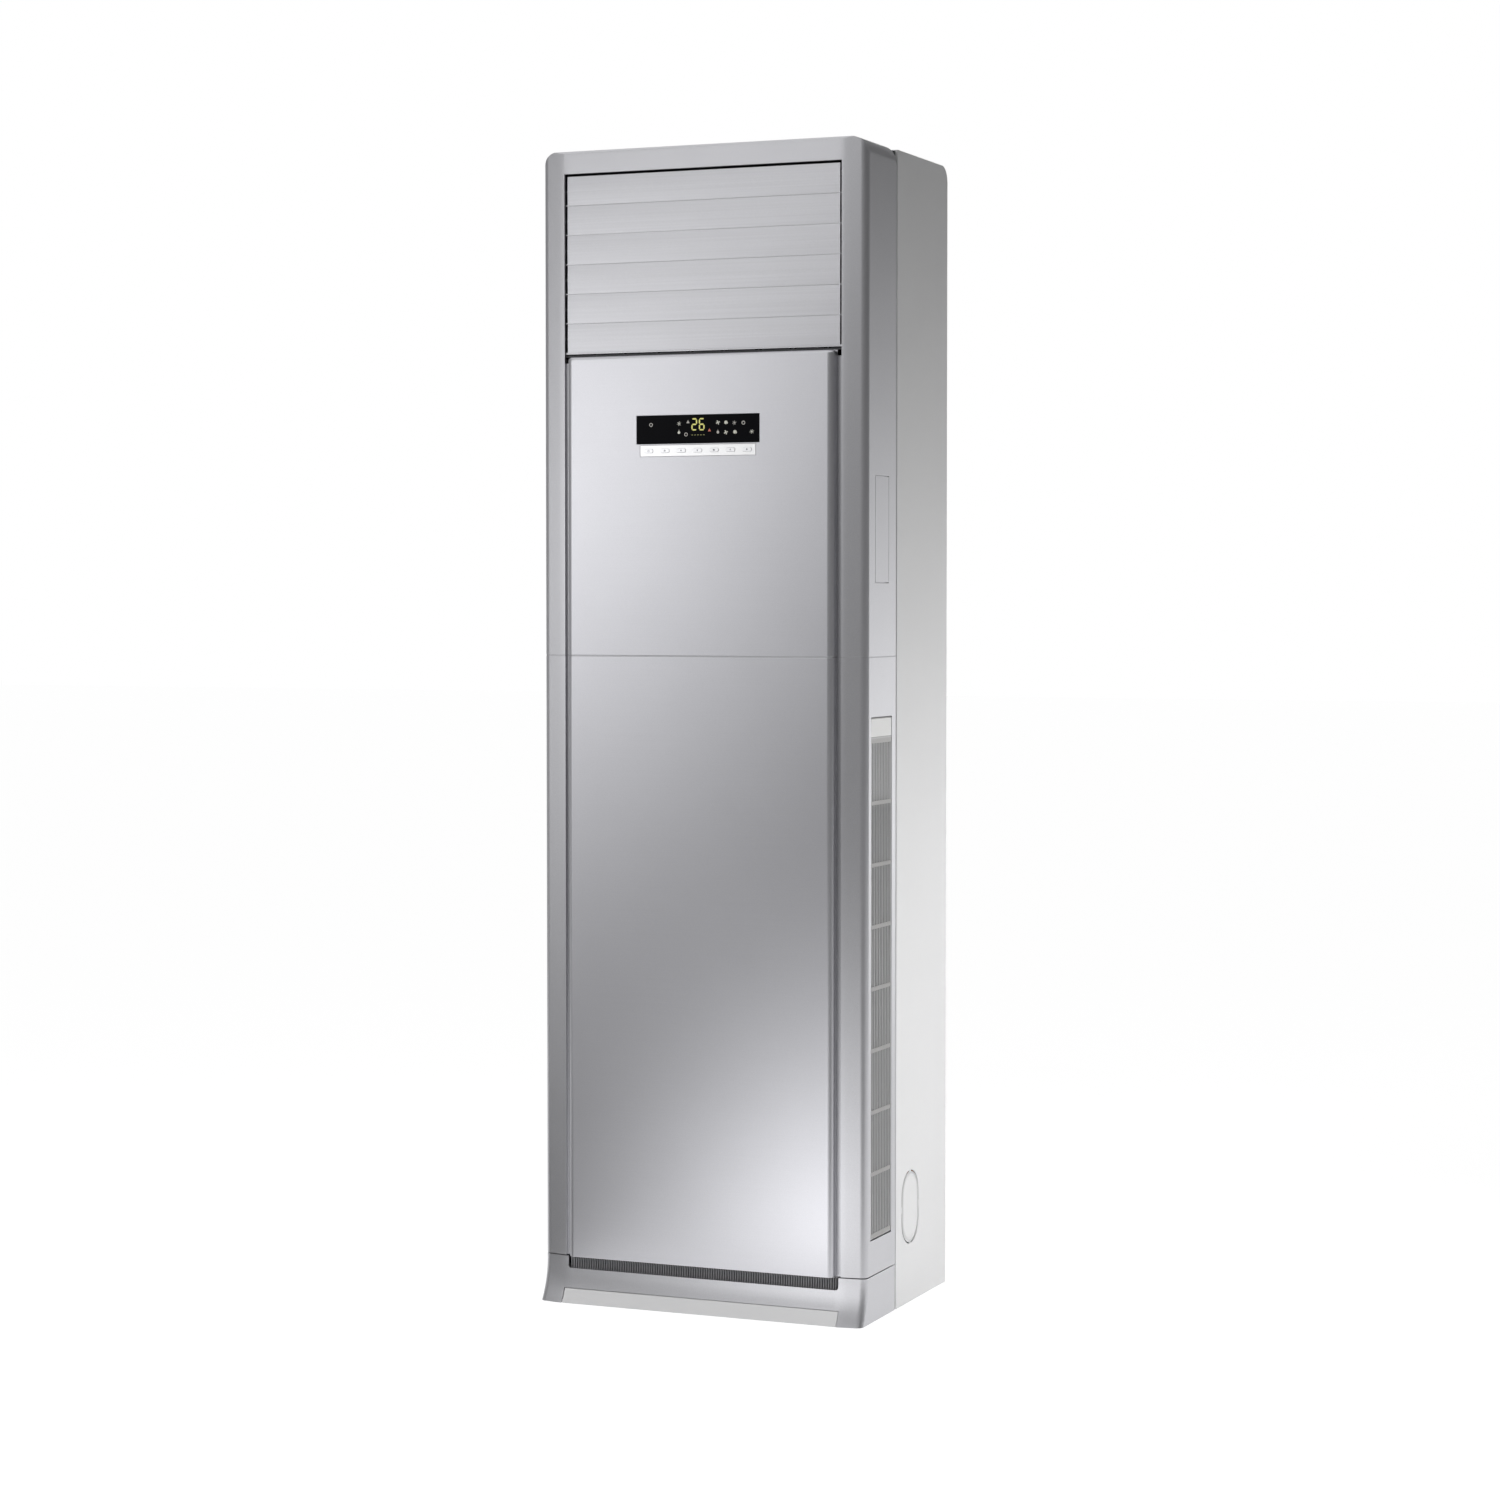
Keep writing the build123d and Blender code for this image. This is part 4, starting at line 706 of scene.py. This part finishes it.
# made before these nodes are replaced, because the copy of a hidden node is hidden too and can't be edited
for node, name in (("lower_front_shell", "frameSeamStrip"), ("lower_front_panel", "panelSeamStrip")):
    strip = mergedCopy(node, name)
    bpy.ops.object.mode_set(mode="EDIT")
    selectWhere(strip, "FACE", onSeam)
    bpy.ops.mesh.inset(thickness=seamSizes["setBack"])
    bpy.ops.mesh.select_all(action="INVERT")
    bpy.ops.mesh.delete(type="FACE")
    bpy.ops.mesh.select_all(action="SELECT")
    bpy.ops.mesh.extrude_region_move(TRANSFORM_OT_translate={"value": (0, 0, seamSizes["rise"])})
    bpy.ops.mesh.select_all(action="SELECT")
    bpy.ops.mesh.normals_make_consistent(inside=False)
    bpy.ops.object.mode_set(mode="OBJECT")
    finishPiece(strip, seamSilver, "cabinet")
print("seam strips made")

louverCount = 6
buttonCount = len(buttonMarks)
softenedNodes = {
    "upper_front_panel": 0.0008, "lower_front_panel": 0.0008,
    "upper_front_shell": 0.0007, "lower_front_shell": 0.0007, "base_plinth": 0.0008,
    "right_side_panel": 0.0004, "left_side_panel": 0.0004, "top_cover": 0.0004,
    "display_window": 0.0003, "button_bezel": 0.0003,
    **{"louver_%d" % count: 0.0004 for count in range(1, louverCount + 1)},
    **{"button_%d" % count: 0.0003 for count in range(1, buttonCount + 1)},
}
for node, width in softenedNodes.items():
    dressedCopy(node, width)
print("edges softened on", len(softenedNodes), "nodes")

# silver strip that closes the groove between the moulded frame and the steel cabinet
grooveSizes = {
    "wide": 0.004, "setBack": 0.0006, "front": -0.0434, "back": -0.0381,
    "low": 0.0725, "high": 1.748, "soft": 0.0003,
}
for side, sideName in ((1, "right"), (-1, "left")):
    outer = side * (cadBox[1].x - grooveSizes["setBack"])
    inner = outer - side * grooveSizes["wide"]
    strip = newBox(
        sideName + "GrooveStrip",
        (min(outer, inner), grooveSizes["front"], grooveSizes["low"]),
        (max(outer, inner), grooveSizes["back"], grooveSizes["high"]),
    )
    softEdges(strip, grooveSizes["soft"])
    finishPiece(strip, seamSilver, "cabinet")
print("groove strips made")

# thin lip under each louver, set back in the joint to the next one
lipSizes = {
    "setBack": 0.001, "deep": 0.0008, "drop": 0.0005, "lastDrop": 0.002,
    "root": 0.001, "endGap": 0.001, "soft": 0.0001,
}
for count in range(1, louverCount + 1):
    low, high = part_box("louver_%d" % count)
    front = low.y + lipSizes["setBack"]
    drop = lipSizes["lastDrop"] if count == louverCount else lipSizes["drop"]
    lip = newBox(
        "louverLip_%d" % count,
        (low.x + lipSizes["endGap"], front, low.z - drop),
        (high.x - lipSizes["endGap"], front + lipSizes["deep"], low.z + lipSizes["root"]),
    )
    softEdges(lip, lipSizes["soft"], 1)
    finishPiece(lip, finishes["silver_louver"], "louver_%d" % count)
print("louver lips made")

# upright bars that stand on the base pan's front lip, behind the air slot of the plinth
gridSizes = {
    "bars": 112, "pitch": 0.004, "thick": 0.0022, "front": -0.1664, "deep": 0.0036,
    "low": 0.0475, "high": 0.0712, "rail": 0.0022,
}
gridPlastic = grainedSurface("slotGridPlastic", {
    "colour": (0.27, 0.27, 0.28), "roughness": 0.5, "grain": 800.0, "tint": 0.1, "depth": 0.00003,
})
gridBack = gridSizes["front"] + gridSizes["deep"]
gridHalf = gridSizes["bars"] * gridSizes["pitch"] / 2
bar = newBox(
    "gridBar",
    (-gridSizes["thick"] / 2, gridSizes["front"], gridSizes["low"]),
    (gridSizes["thick"] / 2, gridBack, gridSizes["high"]),
)
softEdges(bar, gridSizes["thick"] / 4, 1)
bars = [
    copyAt(bar, "gridBar", ((count - (gridSizes["bars"] - 1) / 2) * gridSizes["pitch"], 0, 0))
    for count in range(gridSizes["bars"])
]
rails = [
    newBox("gridRail", (-gridHalf, gridSizes["front"], low), (gridHalf, gridBack, low + gridSizes["rail"]))
    for low in (gridSizes["low"], gridSizes["high"] - gridSizes["rail"])
]
bpy.data.objects.remove(bar)
finishPiece(joinAs(bars + rails, "slotGrid"), gridPlastic, "cabinet")
print("slot grid made")


def whiteSurround(tree, shaderOutput, target, whiteShare, whiteLevel):
    # the camera, reflections and glass see white by its share; other rays see the shader alone
    path = tree.nodes.new("ShaderNodeLightPath")
    direct = addMath(tree, "MAXIMUM", path.outputs["Is Camera Ray"], path.outputs["Is Glossy Ray"])
    seen = addMath(tree, "MAXIMUM", direct, path.outputs["Is Transmission Ray"])
    kind = "ShaderNodeEmission" if target.node.type == "OUTPUT_MATERIAL" else "ShaderNodeBackground"
    white = tree.nodes.new(kind)
    white.inputs["Color"].default_value = (1, 1, 1, 1)
    white.inputs["Strength"].default_value = whiteLevel
    mix = tree.nodes.new("ShaderNodeMixShader")
    tree.links.new(addMath(tree, "MULTIPLY", seen, whiteShare), mix.inputs["Fac"])
    tree.links.new(shaderOutput, mix.inputs[1])
    tree.links.new(white.outputs[0], mix.inputs[2])
    tree.links.new(mix.outputs[0], target)


studio = {"ambient": 0.09, "worldShare": 1.0, "worldLevel": 1.0}
world = scene.world or bpy.data.worlds.new("studioWorld")
scene.world = world
world.use_nodes = True
worldTree = world.node_tree
ambient = worldTree.nodes["Background"]
ambient.inputs["Color"].default_value = (1, 1, 1, 1)
ambient.inputs["Strength"].default_value = studio["ambient"]
worldSurface = worldTree.nodes["World Output"].inputs["Surface"]
whiteSurround(worldTree, ambient.outputs[0], worldSurface, studio["worldShare"], studio["worldLevel"])

floorLook = {
    "side": 60.0, "share": 0.8, "level": 1.2,
    "colour": (0.86, 0.86, 0.86), "roughness": 0.9, "grain": 60.0, "tint": 0.02,
}
deselectAll()
bpy.ops.mesh.primitive_plane_add(size=floorLook["side"])
floor = bpy.context.object
floor.name = "studioFloor"
floorPaint, floorTree, floorShader = newFinish("floorPaper", floorLook["roughness"])
paper = addEffect(floorTree, mouldGrain, {
    "Colour": (*floorLook["colour"], 1), "Grain Scale": floorLook["grain"], "Tint Amount": floorLook["tint"],
})
floorTree.links.new(paper.outputs["Colour"], floorShader.inputs["Base Color"])
floorSurface = floorTree.nodes["Material Output"].inputs["Surface"]
whiteSurround(floorTree, floorShader.outputs[0], floorSurface, floorLook["share"], floorLook["level"])
floor.data.materials.append(floorPaint)


def gradientCard(name, card):
    # a studio card that only reflections see: dark, with soft bright patches
    deselectAll()
    turn = [math.radians(angle) for angle in card["turn"]]
    bpy.ops.mesh.primitive_plane_add(size=1, location=card["place"], rotation=turn)
    piece = bpy.context.object
    piece.name = name
    piece.scale = (*card["size"], 1)
    placeInMesh(piece)
    paint = bpy.data.materials.new(name + "Paint")
    paint.use_nodes = True
    tree = paint.node_tree
    tree.nodes.remove(tree.nodes["Principled BSDF"])
    glow = tree.nodes.new("ShaderNodeEmission")
    where = tree.nodes.new("ShaderNodeTexCoord")
    total = card["dark"]
    for centre, radius, strength in card["patches"]:
        mapping = tree.nodes.new("ShaderNodeMapping")
        mapping.inputs["Location"].default_value = [-c / r for c, r in zip(centre, radius)]
        mapping.inputs["Scale"].default_value = [1 / r for r in radius]
        ball = tree.nodes.new("ShaderNodeTexGradient")
        ball.gradient_type = "QUADRATIC_SPHERE"
        tree.links.new(where.outputs["Object"], mapping.inputs["Vector"])
        tree.links.new(mapping.outputs["Vector"], ball.inputs["Vector"])
        total = addMath(tree, "MULTIPLY_ADD", ball.outputs["Fac"], strength, total)
    tree.links.new(total, glow.inputs["Strength"])
    tree.links.new(glow.outputs[0], tree.nodes["Material Output"].inputs["Surface"])
    piece.data.materials.append(paint)
    piece.visible_camera = False
    piece.visible_diffuse = False
    piece.visible_transmission = False
    piece.visible_shadow = False


# turns in degrees
# each patch: centre, radius and strength; the radius across a card is large, so only the other two count
cards = {
    "frontCard": {
        "place": (-0.6, -1.4, 1.4), "turn": (119.7, 0, 0), "size": (5.0, 3.22), "dark": 0.225,
        "patches": [
            ((-0.87, 0, 1.34), (1.2, 90, 1.42), 2.12),
            ((0.08, 0, 0.02), (0.68, 90, 0.72), 2.35),
            ((-0.25, 0, 2.25), (1.15, 90, 0.9), 1.4),
        ],
    },
    "floorCard": {
        "place": (-0.98, -0.75, 0.004), "turn": (0, 0, 0), "size": (1.3, 1.1), "dark": 0.15,
        "patches": [((-0.2, -0.7, 0), (0.5, 0.8, 90), 0.3)],
    },
    "rearCard": {
        "place": (2.6, 2.6, 2.0), "turn": (90, 0, 0), "size": (6.4, 4.8), "dark": 0.15,
        "patches": [((1.2, 0, 0.6), (2.4, 90, 2.0), 2.1)],
    },
    "rightCard": {
        "place": (3.4, -1.0, 2.0), "turn": (90, 0, 90), "size": (6.8, 4.8), "dark": 0.14,
        "patches": [((3.4, 0.5, 0.4), (90, 3.0, 1.8), 0.25)],
    },
    "leftCard": {
        "place": (-3.2, -1.0, 2.0), "turn": (90, 0, 90), "size": (6.8, 4.8), "dark": 0.24,
        "patches": [((-3.2, 0.5, 0.4), (90, 3.0, 1.8), 0.35)],
    },
}
for name, card in cards.items():
    gradientCard(name, card)

# power in watts, spread of the beam in degrees
lamps = {
    "toeLamp": {
        "place": (1.1, -1.1, 0.25), "aim": (0.2, -0.19, 0.03), "size": (0.5, 0.3), "power": 4, "spread": 180,
    },
    "keyLamp": {
        "place": (-1.5, -2.4, 2.3), "aim": (0, -0.1, 1.0), "size": (1.4, 1.4), "power": 60, "spread": 180,
    },
    "lowSideLamp": {
        "place": (1.4, 0.4, 0.45), "aim": (0.26, 0.1, 0.45), "size": (0.8, 0.5), "power": 9, "spread": 180,
    },
    # narrow, so it lights the back and the top and little of the floor beside them
    "rearLamp": {
        "place": (0, 2.2, 2.9), "aim": (0, 0.15, 1.3), "size": (0.5, 1.2), "power": 7, "spread": 55,
    },
}
for name, lamp in lamps.items():
    deselectAll()
    bpy.ops.object.light_add(type="AREA", location=lamp["place"])
    light = bpy.context.object
    light.name = name
    light.data.shape = "RECTANGLE"
    light.data.size, light.data.size_y = lamp["size"]
    light.data.energy = lamp["power"]
    light.data.spread = math.radians(lamp["spread"])
    light.rotation_euler = (Vector(lamp["aim"]) - Vector(lamp["place"])).to_track_quat("-Z", "Y").to_euler()
    light.visible_camera = False
    light.visible_glossy = False
print("studio ready")
